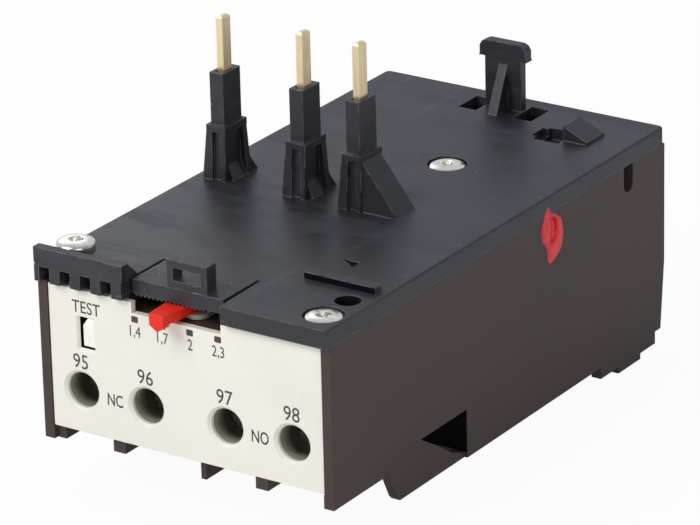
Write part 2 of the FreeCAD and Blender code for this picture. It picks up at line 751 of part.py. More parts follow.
def load_strap(number, phase):
    """Terminal plate under the arch and the strap that carries the strip of one phase."""
    body = new_body("load_strap_%d" % number, x=phase)
    plate = box("0 - 4.2", plus(SOLE, "0.8"), "4.2", STRAP_TOP)
    pad(body, "XZ", "arch_start + 8", "arch_start + 9", plate)
    runner = box("0 - 1.2", "arch_start + 9", "1.2", "strip_row + strip_wide / 2 + 1")
    pad(body, "XY", STRAP, STRAP_TOP, runner)
    bore = [("0", plus(SOLE, "load_screw_high"), "load_screw_radius + run_fit")]
    cut(body, "XZ", "arch_start + 8", "arch_start + 9", rounds=bore)
    return body


def aux_strap(number, place, inward, far):
    """Terminal plate, the arm through the block and the contact leg of one auxiliary terminal."""
    body = new_body("aux_strap_%d" % number, x=place)
    plate = box("0 - 3.2", plus(SOLE, "9"), "3.2", minus(CHAMBER_TOP, "0.2"))
    pad(body, "XZ", "chamber_back - 2.2", "chamber_back - 1.2", plate)
    arm = box("0 - aux_arm_wide / 2", "chamber_back - 1.2", "aux_arm_wide / 2", far)
    pad(body, "XY", minus(CHAMBER_TOP, "strap_thick + 0.2"), minus(CHAMBER_TOP, "0.2"), arm)
    reach = times(inward, "3.2")
    leg = box(times(inward, "0 - aux_arm_wide / 2"), minus(CHAMBER_TOP, "strap_thick + 0.2"),
              reach, plus(CHAMBER_TOP, "3.4"))
    pad(body, "XZ", minus(far, "1"), far, leg)
    cut(body, "XZ", "chamber_back - 2.2", "chamber_back - 1.2",
        rounds=[("0", plus(SOLE, "access_high"), "clamp_screw_radius + run_fit")])
    return body


# ---------------------------------------------------------------- screws

def pan_screw(name, radius, high, shank, long):
    """Pan-head screw about its own z axis, head up, seat at z = 0; the recess is left to the dressing."""
    body = new_body(name)
    spin("Revolution", body, [
        ("0", minus("0", long)), (shank, minus("0", long)), (shank, "0"), (radius, "0"),
        (radius, times("0.7", high)), (times("0.72", radius), high), ("0", high),
    ])
    return body


def clamp_screw(name, radius, high, shank, long):
    """Slotted cheese-head screw about its own z axis, head up, seat at z = 0."""
    body = new_body(name)
    spin("Revolution", body, [
        ("0", minus("0", long)), (shank, minus("0", long)), (shank, "0"),
        (radius, "0"), (radius, high), ("0", high),
    ])
    cut(body, "XY", times("0.45", high), high, box(minus("0", radius), "0 - 0.35", radius, "0.35"))
    return body


def screw_group(name, pattern, spots, turn):
    """Several equal screws as one group of separate solids."""
    pattern.Label = name + " pattern"
    pattern.setExpression("Placement.Base.y", "0")
    doc.recompute()
    copies = []
    for x, y, z in spots:
        solid = pattern.Shape.copy()
        spot = FreeCAD.Vector(value(x), value(minus(y, MIDDLE)), value(z))
        solid.Placement = FreeCAD.Placement(spot, FreeCAD.Rotation(FreeCAD.Vector(1, 0, 0), turn))
        copies.append(solid)
    group = doc.addObject("Part::Feature", name)
    group.Label = name
    group.Shape = Part.makeCompound(copies)
    return group


def cover_screws():
    lifts = (plus(DECK, "0.65"), minus(DECK, "head_high - gap"), minus(DECK, "head_high - gap"))
    spots = [(x, y, z) for (x, y), z in zip(SCREW_SPOTS, lifts)]
    pattern = pan_screw("cover_screw_pattern", "head_radius", "head_high", "shank_radius", "shank_long")
    return screw_group("cover_screws", pattern, spots, 0)


def aux_screws():
    spots = [(place, "chamber_front + 1.9", plus(SOLE, "access_high")) for place in AUX_PLACES]
    long = "chamber_back - chamber_front - 2.2"
    pattern = clamp_screw("aux_screw_pattern", "2.3", "1.6", "clamp_screw_radius", long)
    return screw_group("aux_screws", pattern, spots, 90)


def load_screws():
    spots = [(phase, "arch_start + 5", plus(SOLE, "load_screw_high")) for phase in PHASES]
    pattern = clamp_screw("load_screw_pattern", "2.6", "1.8", "load_screw_radius", "5.5")
    return screw_group("load_screws", pattern, spots, 90)


# ---------------------------------------------------------------- mechanism

def setting_lever():
    """Red pointer lever, turned to the set current; its own origin is the pivot."""
    body = new_body("setting_lever", "0 - lever_shift", "lever_pivot", CAM_TOP, LEVER_TURN)
    tip = "0 - lever_pivot - lever_reach"
    arm = [
        ("0 - lever_root_half", "0"), ("0 - lever_root_half", "1 - lever_pivot"), ("0 - lever_tip_half", tip),
        ("lever_tip_half", tip), ("lever_root_half", "1 - lever_pivot"), ("lever_root_half", "0"),
    ]
    pad(body, "XY", "0", "lever_thick", rounds=[("0", "0", "hub_radius")])
    pad(body, "XY", "0", "lever_thick", arm)
    nib = [
        ("0 - lever_tip_half", "0.1"), ("0 - lever_tip_half", "0 - 0.2"), ("0.15", "0 - 0.95"),
        ("lever_tip_half", "0 - 0.35"), ("lever_tip_half", "0.1"),
    ]
    pad(body, "XZ", tip, plus(tip, "1.3"), nib)
    cut(body, "XY", "0", "lever_thick", rounds=[("0", "0", "pivot_radius + run_fit")])
    return body


def setting_cam():
    """Light grey cam under the lever, with a round nose beside the pointer."""
    body = new_body("setting_cam", "0 - lever_shift", "lever_pivot", plus(SOLE, "notch_low"), LEVER_TURN)
    pad(body, "XY", "0", "cam_thick", rounds=[("0", "0", "cam_radius")])
    nose = box("0.1 - nose_radius + 1.4", "0 - 10", "1.4 + nose_radius - 0.1", "0 - 3")
    pad(body, "XY", "0", "cam_thick", nose)
    pad(body, "XY", "0", "cam_thick", rounds=[("1.4", "0 - 10", "nose_radius")])
    cut(body, "XY", "0", "cam_thick", rounds=[("0", "0", "pivot_radius + run_fit")])
    return body


def test_key():
    """White test key with one bevelled corner."""
    body = new_body("test_key", y="0.3")
    left, right = "0 - window_left + 0.65", "0 - window_right - 0.05"
    low, high = plus(SOLE, "window_low + 0.45"), plus(SOLE, "window_high - 0.1")
    face = [
        (left, low), (right, low), (right, high), (plus(left, "0.8"), high), (left, minus(high, "1.1")),
    ]
    pad(body, "XZ", "0", "block_depth - 0.5", face)
    # flat tongue that stops one stroke short of the contact carrier
    end = minus("bridge_row - 0.4 - gap - key_travel", "0.3")
    pad(body, "XZ", "block_depth - 0.5", end, box(left, minus(high, "key_rear"), right, high))
    return body


def lacquer_seal():
    """Dab of sealing lacquer spread over the calibration hole."""
    body = new_body("lacquer_seal", HALF, "calibration_back", CALIBRATION)
    dab = [("0", "0 - 4"), ("1.2", "0 - 2.9"), ("1.9", "0 - 2"), ("2.7", "0"), ("1.9", "2"), ("0.6", "2.9"),
           ("0 - 0.4", "3.2"), ("0 - 1.9", "1.9"), ("0 - 2.6", "0"), ("0 - 1.9", "0 - 2")]
    pad(body, "YZ", "0", "0.15", dab)
    cut(body, "YZ", "0", "0.15", rounds=[("0", "0", "1.7")])
    return body


def calibration_screw():
    """Slotted screw in the right wall; its axis is the body's own z axis, turned to +x."""
    body = new_body("calibration_screw", minus(HALF, "0.35"), "calibration_back", CALIBRATION, 90, (0, 1, 0))
    pad(body, "XY", "0 - 3.9", "0", rounds=[("0", "0", "calibration_radius - run_fit")])
    cut(body, "XY", "0 - 0.7", "0", box("0 - 1.9", "0 - 0.3", "1.9", "0.3"))
    return body


def trip_slide():
    """Slide that the three strips push to the right; a window clears each strip."""
    body = new_body("trip_slide")
    plate = box("0 - 17.5", "strip_row - 5.5", "17.5", "strip_row + 5")
    windows = []
    for phase in PHASES:
        left = minus(phase, "strip_thick / 2 + slide_travel + 0.4")
        right = plus(phase, "strip_thick / 2 + gap")
        reach = "strip_wide / 2 + 0.3"
        windows.append(box(left, minus("strip_row", reach), right, plus("strip_row", reach)))
    pad(body, "XY", SLIDE, SLIDE_TOP, plate, *windows)
    finger = box("trip_pivot_side - 1.9", "trip_pivot_back + trip_arm_long - 0.5",
                 "trip_pivot_side - 0.9", "strip_row - 5.5")
    pad(body, "XY", SLIDE, SLIDE_TOP, finger)
    return body


def trip_lever():
    """Two-armed lever on the fixed pivot; its own origin is the pivot."""
    body = new_body("trip_lever", "trip_pivot_side", "trip_pivot_back", SLIDE)
    pad(body, "XY", "0", "slide_thick", rounds=[("0", "0", "3")])
    pad(body, "XY", "0", "slide_thick", box("0 - 0.7", "0", "0.7", "trip_arm_long + 0.6"))
    pad(body, "XY", "0", "slide_thick", box("0 - trip_arm_short + 0.3", "0 - 0.7", "0", "0.7"))
    cut(body, "XY", "0", "slide_thick", rounds=[("0", "0", "1.5 + run_fit")])
    return body


def contact_carrier():
    """Moulded bar that holds both contact bridges, with a tail that hooks round the trip lever."""
    body = new_body("contact_carrier", y="bridge_row")
    bar = box("0 - window_left + 0.5", "0 - 0.4", "13.5", "1.6")
    pad(body, "XY", SLIDE, SLIDE_TOP, bar)
    end = "trip_pivot_back + 2.5 - bridge_row"
    tail = [
        ("0 - 6", "1.6"), ("0 - 3.2", "1.6"), ("0 - 3.2", minus(end, "1.6")),
        ("2.5", minus(end, "1.6")), ("2.5", end), ("0 - 6", end),
    ]
    pad(body, "XY", SLIDE, SLIDE_TOP, tail)
    for side in ("0 - 1", "1"):
        middle = times(side, "(access_inner + access_outer) / 2")
        fork = box(minus(middle, "1.5"), "0 - 0.4", plus(middle, "1.5"), "1.2")
        pad(body, "XY", minus(SLIDE, "4.6"), SLIDE, fork)
        slot = box(minus(middle, "1.5"), "0", plus(middle, "1.5"), "0.8")
        cut(body, "XY", minus(SLIDE, "4"), minus(SLIDE, "1.4"), slot)
    return body


def contact_bridge(name, side, facing):
    """Bridge with a contact rivet at each end; facing tells which way the rivets stand."""
    middle = times(side, "(access_inner + access_outer) / 2")
    body = new_body(name, x=middle, y="bridge_row", z=minus(SLIDE, "4"))
    pad(body, "XZ", "0", "0.8", box("0 - 4.4", "0", "4.4", "2.6"))
    rivets = [("3.1", "1.3", "1.2"), ("0 - 3.1", "1.3", "1.2")]
    if facing == "front":
        pad(body, "XZ", "0 - 0.5", "0", rounds=rivets)
    else:
        pad(body, "XZ", "0.8", "1.3", rounds=rivets)
    return body


# ---------------------------------------------------------------- build and write

def build():
    parts = [base_housing(), top_cover(), front_panel(), cover_screws(), aux_screws(), load_screws()]
    for number, (place, phase) in enumerate(zip(PIN_PLACES, PHASES), start=1):
        parts.append(line_pin(number, place, phase))
        parts.append(bimetal_strip(number, phase))
        parts.append(heater_winding(number, phase))
        parts.append(load_strap(number, phase))
    near, far = "bridge_row - 0.5", "bridge_row + 1.3 + carrier_travel + 0.05 + 1"
    for number, place, inward, row in zip((95, 96, 97, 98), AUX_PLACES, ("1", "0 - 1", "1", "0 - 1"),
                                          (near, near, far, far)):
        parts.append(aux_strap(number, place, inward, row))
    parts += [setting_lever(), setting_cam(), test_key(), calibration_screw(), lacquer_seal()]
    parts += [trip_slide(), trip_lever(), contact_carrier()]
    parts += [contact_bridge("nc_bridge", "0 - 1", "front"), contact_bridge("no_bridge", "1", "rear")]
    return parts


def verify(parts):
    """Stop if anything failed to build or a pocket removed nothing."""
    for item in doc.Objects:
        if "Invalid" in item.State or "Error" in item.State:
            raise RuntimeError("%s did not build" % item.Name)
        if item.TypeId == "PartDesign::Pocket" and item.BaseFeature:
            if item.Shape.Volume > item.BaseFeature.Shape.Volume - NEAR:
                raise RuntimeError("%s of %s cut nothing" % (item.Name, item.getParent().Label))
    for part in parts:
        if part.Shape.isNull() or not part.Shape.isValid():
            raise RuntimeError("%s has no valid shape" % part.Label)


parts = build()
doc.recompute()
verify(parts)
os.makedirs("parts", exist_ok=True)
for part in parts:
    part.Shape.exportStep("parts/%s.step" % part.Label)
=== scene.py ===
"""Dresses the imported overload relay: printing, screw heads, sealing lacquer, finishes and studio."""

import math

import bmesh
import bpy
from bpy.props import FloatProperty, FloatVectorProperty, PointerProperty
from mathutils import Matrix, Vector


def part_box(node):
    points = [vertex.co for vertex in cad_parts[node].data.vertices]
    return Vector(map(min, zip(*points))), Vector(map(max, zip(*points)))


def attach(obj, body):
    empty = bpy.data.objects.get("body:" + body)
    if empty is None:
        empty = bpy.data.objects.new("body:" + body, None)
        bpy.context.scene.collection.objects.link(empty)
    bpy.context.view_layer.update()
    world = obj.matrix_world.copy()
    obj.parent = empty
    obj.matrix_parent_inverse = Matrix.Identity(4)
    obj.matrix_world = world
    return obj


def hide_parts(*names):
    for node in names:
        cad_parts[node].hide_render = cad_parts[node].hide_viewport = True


bl_info = {
    "name": "Overload Relay Dressing",
    "version": (1, 0, 0),
    "blender": (4, 5, 0),
    "location": "View3D > Sidebar > Relay",
    "description": "Printing, screw heads, lacquer, finishes and studio for a plug-in overload relay",
    "category": "Object",
}

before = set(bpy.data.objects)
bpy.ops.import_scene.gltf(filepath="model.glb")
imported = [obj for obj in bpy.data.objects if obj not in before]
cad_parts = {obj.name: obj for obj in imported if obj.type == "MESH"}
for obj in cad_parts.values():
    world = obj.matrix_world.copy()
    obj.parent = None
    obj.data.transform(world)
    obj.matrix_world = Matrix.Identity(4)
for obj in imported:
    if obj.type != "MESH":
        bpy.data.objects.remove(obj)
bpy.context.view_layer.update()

MM = 0.001
PANEL_LOW, PANEL_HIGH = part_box("front_panel")
COVER_LOW, COVER_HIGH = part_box("top_cover")
HOUSING_LOW, HOUSING_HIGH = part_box("base_housing")
SEAT_LOW, SEAT_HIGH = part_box("calibration_screw")

# Places below are in millimetres: x from the middle, y from the front face of the side walls,
# z from the lowest foot. SOLE is the height of the side walls' lower edge.
FRONT = HOUSING_LOW.y / MM
SOLE = 2.6
COVER_THICK = 2.5
DECK = COVER_LOW.z / MM + COVER_THICK

# Screwdriver bores: number and place of each, and their height above the sole.
TERMINALS = (("95", -16.35), ("96", -6.15), ("97", 6.15), ("98", 16.35))
BORE_HIGH = 12.6
BORE_RADIUS = 2.45
HOLE_SPOT = (19.3, 9.0)
HOLE_RADIUS = 1.75

# Printing: places of the words and of the setting scale, and heights of their middles above the sole.
WORDS = (("NC", -11.05), ("NO", 11.45))
DIAL = (("1,4", -7.43), ("1,7", -3.15), ("2", 1.10), ("2,3", 5.40))
TEST_PLACE = -15.1
TERMINAL_LINE = 16.75
WORD_LINE = 12.45
TEST_LINE = 24.43
DIAL_LINE = 22.85
TICK_LINE = 24.5

# Cover screws: x, y, lift of the seat over the deck, and turn of the cross in radians.
COVER_SCREWS = ((-19.1, 3.9, 0.65, 0.35), (19.15, 3.75, -1.6, 0.9), (4.5, 55.4, -1.6, 0.1))
HEAD_RADIUS = 2.6
HEAD_HIGH = 1.7
SHANK_RADIUS = 1.4
SHANK_LONG = 9.0
RECESS_DEEP = 1.15

# Outline of the lacquer round the calibration hole: y and z from its middle.
SMEAR_RIM = ((-0.6, 3.6), (-0.1, 2.55), (0.9, 2.15), (1.75, 1.6), (2.6, 0.9), (3.0, -0.2), (3.1, -1.6),
             (2.7, -3.0), (1.8, -3.9), (0.0, -4.6), (-0.8, -4.0), (-0.9, -2.6), (-1.5, -1.6), (-2.15, -0.8),
             (-2.4, 0.5), (-2.0, 1.5), (-1.4, 2.6))
LACQUER_HOLE = 1.85
LUMP_RADIUS = 1.72
LUMP_STRETCH = 1.08

# Camera: place in metres, angles in degrees, focal length in millimetres.
CAMERA_SPOT = (0.33209, -0.49406, 0.26574)
CAMERA_YAW = -33.99
CAMERA_PITCH = 22.23
CAMERA_ROLL = 1.40
LENS = 249.4

# Surround: brightest towards one side, and this part of its strength opposite.
BACKDROP_SIDE = (-0.5, 0.85, 0.15)
SKY_SHARE = 0.3
SKY_TINT = (0.93, 0.96, 1.08, 1.0)

# Lamps: place and target in metres, and side length of the square.
KEY_LAMP = ((-0.30, -0.60, 0.62), (0, 0, 0.02), 0.5)
FILL_LAMP = ((0.62, -0.55, 0.30), (0, 0, 0.02), 0.5)
CARD_LAMP = ((-0.17, 0.11, 0.13), (-0.01, -0.01, 0.03), 0.12)


# ---------------------------------------------------------------- sizes and colours

def length(name, text, default):
    return FloatProperty(name=name, description=text, default=default, unit="LENGTH", precision=5)


def power(name, text, default):
    return FloatProperty(name=name, description=text, default=default, min=0.0, unit="POWER")


def colour(name, text, default):
    return FloatVectorProperty(name=name, description=text, default=default, size=3,
                               min=0.0, max=1.0, subtype="COLOR")


class RelayPrintSizes(bpy.types.PropertyGroup):
    ink_thick: length("Ink thickness", "How far the printing stands off the panel", 0.02 * MM)
    terminal_high: length("Terminal number height", "Height of the numbers over the screwdriver holes",
                          2.0 * MM)
    contact_high: length("Contact word height", "Height of the words between the holes", 1.72 * MM)
    test_high: length("Test word height", "Height of the word over the test key", 1.68 * MM)
    dial_high: length("Dial number height", "Height of the numbers on the setting scale", 1.5 * MM)
    tick_wide: length("Tick width", "Width of the squares on the setting scale", 1.02 * MM)


class RelayFastenerSizes(bpy.types.PropertyGroup):
    recess_wide: length("Recess width", "Distance across the cross recess", 2.3 * MM)
    recess_slot: length("Recess slot", "Width of one arm of the cross recess", 0.62 * MM)
    lacquer_thick: length("Lacquer thickness", "Greatest thickness of the sealing lacquer", 0.14 * MM)


class RelayColours(bpy.types.PropertyGroup):
    cover: colour("Cover", "Slightly blue charcoal of the moulded cover", (0.017, 0.0175, 0.021))
    housing: colour("Housing", "Brownish black of the moulded housing", (0.050, 0.030, 0.025))
    panel: colour("Panel", "Cream of the front panel", (0.86, 0.835, 0.735))
    ink: colour("Ink", "Dark grey of the printing", (0.052, 0.049, 0.046))
    lever: colour("Lever", "Red of the setting lever", (0.90, 0.026, 0.011))
    lacquer: colour("Lacquer", "Red of the sealing lacquer", (0.86, 0.022, 0.030))
    zinc: colour("Zinc", "Plated steel of the screws", (0.82, 0.81, 0.73))
    pin: colour("Pin", "Pale tinned brass of the contact pins", (0.92, 0.77, 0.47))


class RelayStudio(bpy.types.PropertyGroup):
    floor_shade: FloatProperty(name="Floor shade", description="Brightness of the pale floor",
                               default=0.86, min=0.0, max=1.0, subtype="FACTOR")
    sky: FloatProperty(name="Surround", description="Strength of the white surround",
                       default=0.7, min=0.0)
    key_power: power("Key lamp", "Power of the large soft lamp", 5.0)
    fill_power: power("Fill lamp", "Power of the soft lamp on the right", 1.4)
    card_power: power("Card lamp", "Power of the small near lamp behind on the left", 0.032)


# ---------------------------------------------------------------- material maths

class Term:
    """A number that varies over a surface, with the usual arithmetic."""

    def __init__(self, finish, socket):
        self.finish = finish
        self.socket = socket

    def __add__(self, other):
        return self.finish.maths("ADD", self, other)

    def __radd__(self, other):
        return self.finish.maths("ADD", other, self)

    def __sub__(self, other):
        return self.finish.maths("SUBTRACT", self, other)

    def __rsub__(self, other):
        return self.finish.maths("SUBTRACT", other, self)

    def __mul__(self, other):
        return self.finish.maths("MULTIPLY", self, other)

    def __lt__(self, other):
        return self.finish.maths("LESS_THAN", self, other)

    def step(self, low, high):
        """0 below low, 1 above high, smooth in between."""
        made = self.finish.node("ShaderNodeMapRange", {"interpolation_type": "SMOOTHSTEP"},
                                {"Value": self, "From Min": low, "From Max": high})
        return Term(self.finish, made.outputs["Result"])


class Finish:
    """One node material round a Principled shader."""

    def __init__(self, name):
        self.material = bpy.data.materials.new(name)
        self.material.use_nodes = True
        self.tree = self.material.node_tree
        self.tree.nodes.clear()
        self.shader = self.node("ShaderNodeBsdfPrincipled")
        self.node("ShaderNodeOutputMaterial", {}, {"Surface": self.shader.outputs["BSDF"]})
        self.place = self.node("ShaderNodeTexCoord").outputs["Object"]

    def node(self, kind, settings=None, sockets=None):
        """Add a node, set it up, then give its sockets values or links."""
        made = self.tree.nodes.new(kind)
        for key, setting in (settings or {}).items():
            setattr(made, key, setting)
        for key, given in (sockets or {}).items():
            given = given.socket if isinstance(given, Term) else given
            if isinstance(given, bpy.types.NodeSocket):
                self.tree.links.new(given, made.inputs[key])
            else:
                made.inputs[key].default_value = given
        return made

    def maths(self, operation, first, second):
        made = self.node("ShaderNodeMath", {"operation": operation}, {0: first, 1: second})
        return Term(self, made.outputs[0])

    def noise(self, scale, detail=3.0, rough=0.55, stretch=None, twist=0.0):
        """Soft noise with the given number of features per metre."""
        source = self.place
        if stretch:
            mapped = self.node("ShaderNodeMapping", {}, {"Vector": source, "Scale": stretch})
            source = mapped.outputs["Vector"]
        made = self.node("ShaderNodeTexNoise", {}, {
            "Vector": source, "Scale": scale, "Detail": detail, "Roughness": rough, "Distortion": twist})
        return Term(self, made.outputs["Fac"])

    def specks(self, scale, size, share):
        """Small scattered spots; share is the part of the cells that hold one."""
        made = self.node("ShaderNodeTexVoronoi", {}, {
            "Vector": self.place, "Scale": scale, "Randomness": 1.0})
        split = self.node("ShaderNodeSeparateColor", {}, {0: made.outputs["Color"]})
        chosen = Term(self, split.outputs[0]) < share
        near = 1.0 - Term(self, made.outputs["Distance"]).step(size * 0.5, size)
        return chosen * near

    def rounded(self, radius):
        """Normal of the surface as if its edges had a small radius."""
        return self.node("ShaderNodeBevel", {"samples": 6}, {"Radius": radius}).outputs["Normal"]

    def edges(self, radius, low=0.004, high=0.12):
        """1 along the outer edges of a shape, 0 on its faces."""
        flat = self.node("ShaderNodeNewGeometry").outputs["True Normal"]
        dot = self.node("ShaderNodeVectorMath", {"operation": "DOT_PRODUCT"},
                        {0: self.rounded(radius), 1: flat})
        return (1.0 - Term(self, dot.outputs["Value"])).step(low, high)

    def blend(self, factor, first, second):
        """Mix two colours."""
        first = (*first, 1.0) if isinstance(first, tuple) else first
        second = (*second, 1.0) if isinstance(second, tuple) else second
        made = self.node("ShaderNodeMix", {"data_type": "RGBA"}, {0: factor, 6: first, 7: second})
        return made.outputs[2]

    def bump(self, height, strength, distance, soft_edges=0.0):
        """Relief from a height, over edges that are softened by a small radius."""
        sockets = {"Height": height, "Strength": strength, "Distance": distance}
        if soft_edges:
            sockets["Normal"] = self.rounded(soft_edges)
        return self.node("ShaderNodeBump", {}, sockets).outputs["Normal"]

    def set(self, **values):
        """Give the shader's sockets plain values or links; names have _ for spaces."""
        for key, given in values.items():
            given = given.socket if isinstance(given, Term) else given
            socket = self.shader.inputs[key.replace("_", " ")]
            if isinstance(given, bpy.types.NodeSocket):
                self.tree.links.new(given, socket)
            elif isinstance(given, tuple):
                socket.default_value = (*given, 1.0)
            else:
                socket.default_value = given
        return self


def shade(base, factor):
    return tuple(min(1.0, part * factor) for part in base)


# ---------------------------------------------------------------- finishes

def cover_plastic(base):
    """Satin charcoal moulding with flow marks, a film, fine scratches, dust, and pale edges that are partly
    rubbed wear and partly painted highlight.
    """
    finish = Finish("cover_plastic")
    flow = finish.noise(55, 5, 0.6, stretch=(1.0, 0.28, 1.0), twist=0.8)
    cloud = finish.noise(28, 3)
    tone = finish.blend((flow * 0.6 + cloud * 0.5).step(0.35, 0.75), shade(base, 0.84), shade(base, 1.22))
    film = finish.noise(110, 5, 0.7, stretch=(0.35, 1.0, 1.0), twist=0.6).step(0.47, 0.66)
    tone = finish.blend(film * 0.5, tone, shade(base, 2.6))
    scratch = finish.noise(420, 2, 0.5, stretch=(1.0, 0.05, 1.0)).step(0.62, 0.74)
    tone = finish.blend(scratch * 0.4, tone, shade(base, 3.0))
    # Pale edges: partly rubbed wear, partly a painted highlight where the rounded edges catch the light.
    rubbed_wear_and_highlight = finish.edges(0.26 * MM) * finish.noise(500, 3).step(0.36, 0.62)
    tone = finish.blend(rubbed_wear_and_highlight * 0.75, tone, (0.17, 0.17, 0.175))
    dust = finish.specks(620, 0.085, 0.07)
    tone = finish.blend(dust * 0.75, tone, (0.40, 0.40, 0.39))
    grain = finish.noise(5200, 2, 0.6)
    relief = grain + flow * 1.6 - scratch * 0.5
    finish.set(Base_Color=tone, Roughness=0.34 + cloud * 0.12 + film * 0.14 + grain * 0.05,
               Normal=finish.bump(relief, 0.32, 0.018 * MM, 0.16 * MM))
    return finish.material


def housing_plastic(base):
    """Brownish black thermoset, drier and more even than the cover."""
    finish = Finish("housing_plastic")
    cloud = finish.noise(40, 4, 0.6)
    tone = finish.blend(cloud.step(0.3, 0.7), shade(base, 0.88), shade(base, 1.14))
    wipe = finish.noise(260, 2, 0.5, stretch=(1.0, 0.16, 1.0)).step(0.64, 0.8)
    tone = finish.blend(wipe * 0.12, tone, shade(base, 2.0))
    # Pale edges: partly rubbed wear, partly a painted highlight where the rounded edges catch the light.
    rubbed_wear_and_highlight = finish.edges(0.2 * MM) * finish.noise(650, 3).step(0.5, 0.74)
    tone = finish.blend(rubbed_wear_and_highlight * 0.6, tone, (0.13, 0.12, 0.115))
    dust = finish.specks(480, 0.11, 0.045)
    tone = finish.blend(dust * 0.55, tone, (0.4, 0.39, 0.37))
    grain = finish.noise(4200, 3, 0.65)
    finish.set(Base_Color=tone, Roughness=0.50 + cloud * 0.14,
               Normal=finish.bump(grain + cloud, 0.35, 0.02 * MM, 0.14 * MM))
    return finish.material


def panel_plastic(base):
    """Cream moulding, smooth, with a little yellowing and handling marks."""
    finish = Finish("panel_plastic")
    cloud = finish.noise(60, 4, 0.6)
    tone = finish.blend(cloud.step(0.3, 0.72), shade(base, 0.965), shade(base, 1.02))
    smudge = finish.noise(170, 3, 0.6).step(0.62, 0.82)
    tone = finish.blend(smudge * 0.10, tone, (0.55, 0.50, 0.41))
    dust = finish.specks(380, 0.07, 0.012)
    tone = finish.blend(dust * 0.5, tone, (0.30, 0.27, 0.22))
    grain = finish.noise(3800, 2, 0.5)
    finish.set(Base_Color=tone, Roughness=0.42 + cloud * 0.12,
               Normal=finish.bump(grain, 0.18, 0.012 * MM, 0.10 * MM))
    return finish.material


def ink(base):
    """Dark printing, worn thin in places."""
    finish = Finish("printing_ink")
    wear = finish.noise(2600, 3).step(0.5, 0.8)
    tone = finish.blend(wear * 0.35, base, shade(base, 3.2))
    finish.set(Base_Color=tone, Roughness=0.55 + wear * 0.1,
               Normal=finish.bump(wear, 0.1, 0.004 * MM))
    return finish.material


def red_plastic(base):
    """Satin red moulding, a little paler along its edges."""
    finish = Finish("red_plastic")
    cloud = finish.noise(240, 3)
    tone = finish.blend(cloud.step(0.3, 0.7), shade(base, 0.9), shade(base, 1.08))
    worn = finish.edges(0.18 * MM) * 0.5
    tone = finish.blend(worn, tone, (0.90, 0.13, 0.09))
    grain = finish.noise(3200, 2)
    finish.set(Base_Color=tone, Roughness=0.40 + cloud * 0.12, Specular_IOR_Level=0.3,
               Normal=finish.bump(grain, 0.22, 0.012 * MM, 0.16 * MM))
    return finish.material


def light_plastic(name, base, rough):
    """Pale small mouldings: test key, setting cam and inner parts."""
    finish = Finish(name)
    cloud = finish.noise(210, 3)
    tone = finish.blend(cloud.step(0.3, 0.7), shade(base, 0.93), shade(base, 1.04))
    grain = finish.noise(3000, 2)
    finish.set(Base_Color=tone, Roughness=rough + cloud * 0.1,
               Normal=finish.bump(grain, 0.2, 0.012 * MM, 0.12 * MM))
    return finish.material


def zinc_steel(name, base, turned):
    """Bright zinc plating with a faint yellow tint; turned faces carry fine rings."""
    finish = Finish(name)
    cloud = finish.noise(900, 3)
    stain = finish.noise(420, 4, 0.6).step(0.45, 0.75)
    tone = finish.blend(cloud.step(0.3, 0.7), shade(base, 0.9), shade(base, 1.1))
    tone = finish.blend(stain * 0.35, tone, (0.84, 0.76, 0.52))
    if turned:
        own = finish.node("ShaderNodeAttribute", {"attribute_name": "turned"}).outputs["Vector"]
        radius = finish.node("ShaderNodeVectorMath", {"operation": "LENGTH"}, {0: own}).outputs["Value"]
        rings = finish.node("ShaderNodeTexNoise", {"noise_dimensions": "1D"},
                            {"W": radius, "Scale": 9000.0, "Detail": 2.0}).outputs["Fac"]
        relief = Term(finish, rings) * 0.8 + cloud * 0.6
    else:
        relief = cloud + finish.noise(6000, 2)
    finish.set(Base_Color=tone, Metallic=1.0, Roughness=0.22 + stain * 0.14,
               Normal=finish.bump(relief, 0.25, 0.01 * MM))
    return finish.material


def drawn_metal(name, base, stain_shade, rough, axis):
    """Strip or pin metal with fine lines along the way it was drawn, and patchy tarnish."""
    finish = Finish(name)
    stretch = tuple(0.04 if part == axis else 1.0 for part in range(3))
    lines = finish.noise(5200, 3, 0.6, stretch=stretch)
    patch = finish.noise(330, 4, 0.65).step(0.5, 0.78)
    tone = finish.blend(lines.step(0.35, 0.7), shade(base, 0.9), shade(base, 1.08))
    tone = finish.blend(patch * 0.5, tone, stain_shade)
    finish.set(Base_Color=tone, Metallic=0.74, Roughness=rough + patch * 0.14 + lines * 0.06,
               Normal=finish.bump(lines, 0.3, 0.01 * MM, 0.12 * MM))
    return finish.material


def heater_wrap():
    """Glass sleeve with the resistance wire wound over it."""
    finish = Finish("heater_wrap")
    turns = finish.node("ShaderNodeTexWave", {"bands_direction": "Z"}, {
        "Vector": finish.place, "Scale": 260.0, "Distortion": 1.5, "Detail": 2.0})
    weave = Term(finish, turns.outputs["Fac"])
    cloud = finish.noise(700, 3)
    tone = finish.blend(weave.step(0.3, 0.7), (0.40, 0.36, 0.28), (0.72, 0.68, 0.58))
    finish.set(Base_Color=tone, Roughness=0.7 + cloud * 0.15,
               Normal=finish.bump(weave + cloud, 0.5, 0.05 * MM))
    return finish.material


def olive_bore_tone():
    """Olive brown colour of the liners inside the terminal bores."""
    finish = Finish("olive_bore_tone")
    cloud = finish.noise(300, 3)
    tone = finish.blend(cloud.step(0.3, 0.7), (0.15, 0.136, 0.098), (0.21, 0.19, 0.138))
    finish.set(Base_Color=tone, Roughness=0.5 + cloud * 0.15,
               Normal=finish.bump(finish.noise(3000, 2) + cloud, 0.25, 0.015 * MM))
    return finish.material


def black_recess(name):
    """Rough black that stands for the dark of a recess, whatever the light."""
    finish = Finish(name)
    cloud = finish.noise(900, 3)
    tone = finish.blend(cloud, (0.003, 0.003, 0.003), (0.007, 0.0065, 0.006))
    finish.set(Base_Color=tone, Roughness=0.85 + cloud * 0.1, Specular_IOR_Level=0.08,
               Normal=finish.bump(cloud, 0.4, 0.02 * MM))
    return finish.material


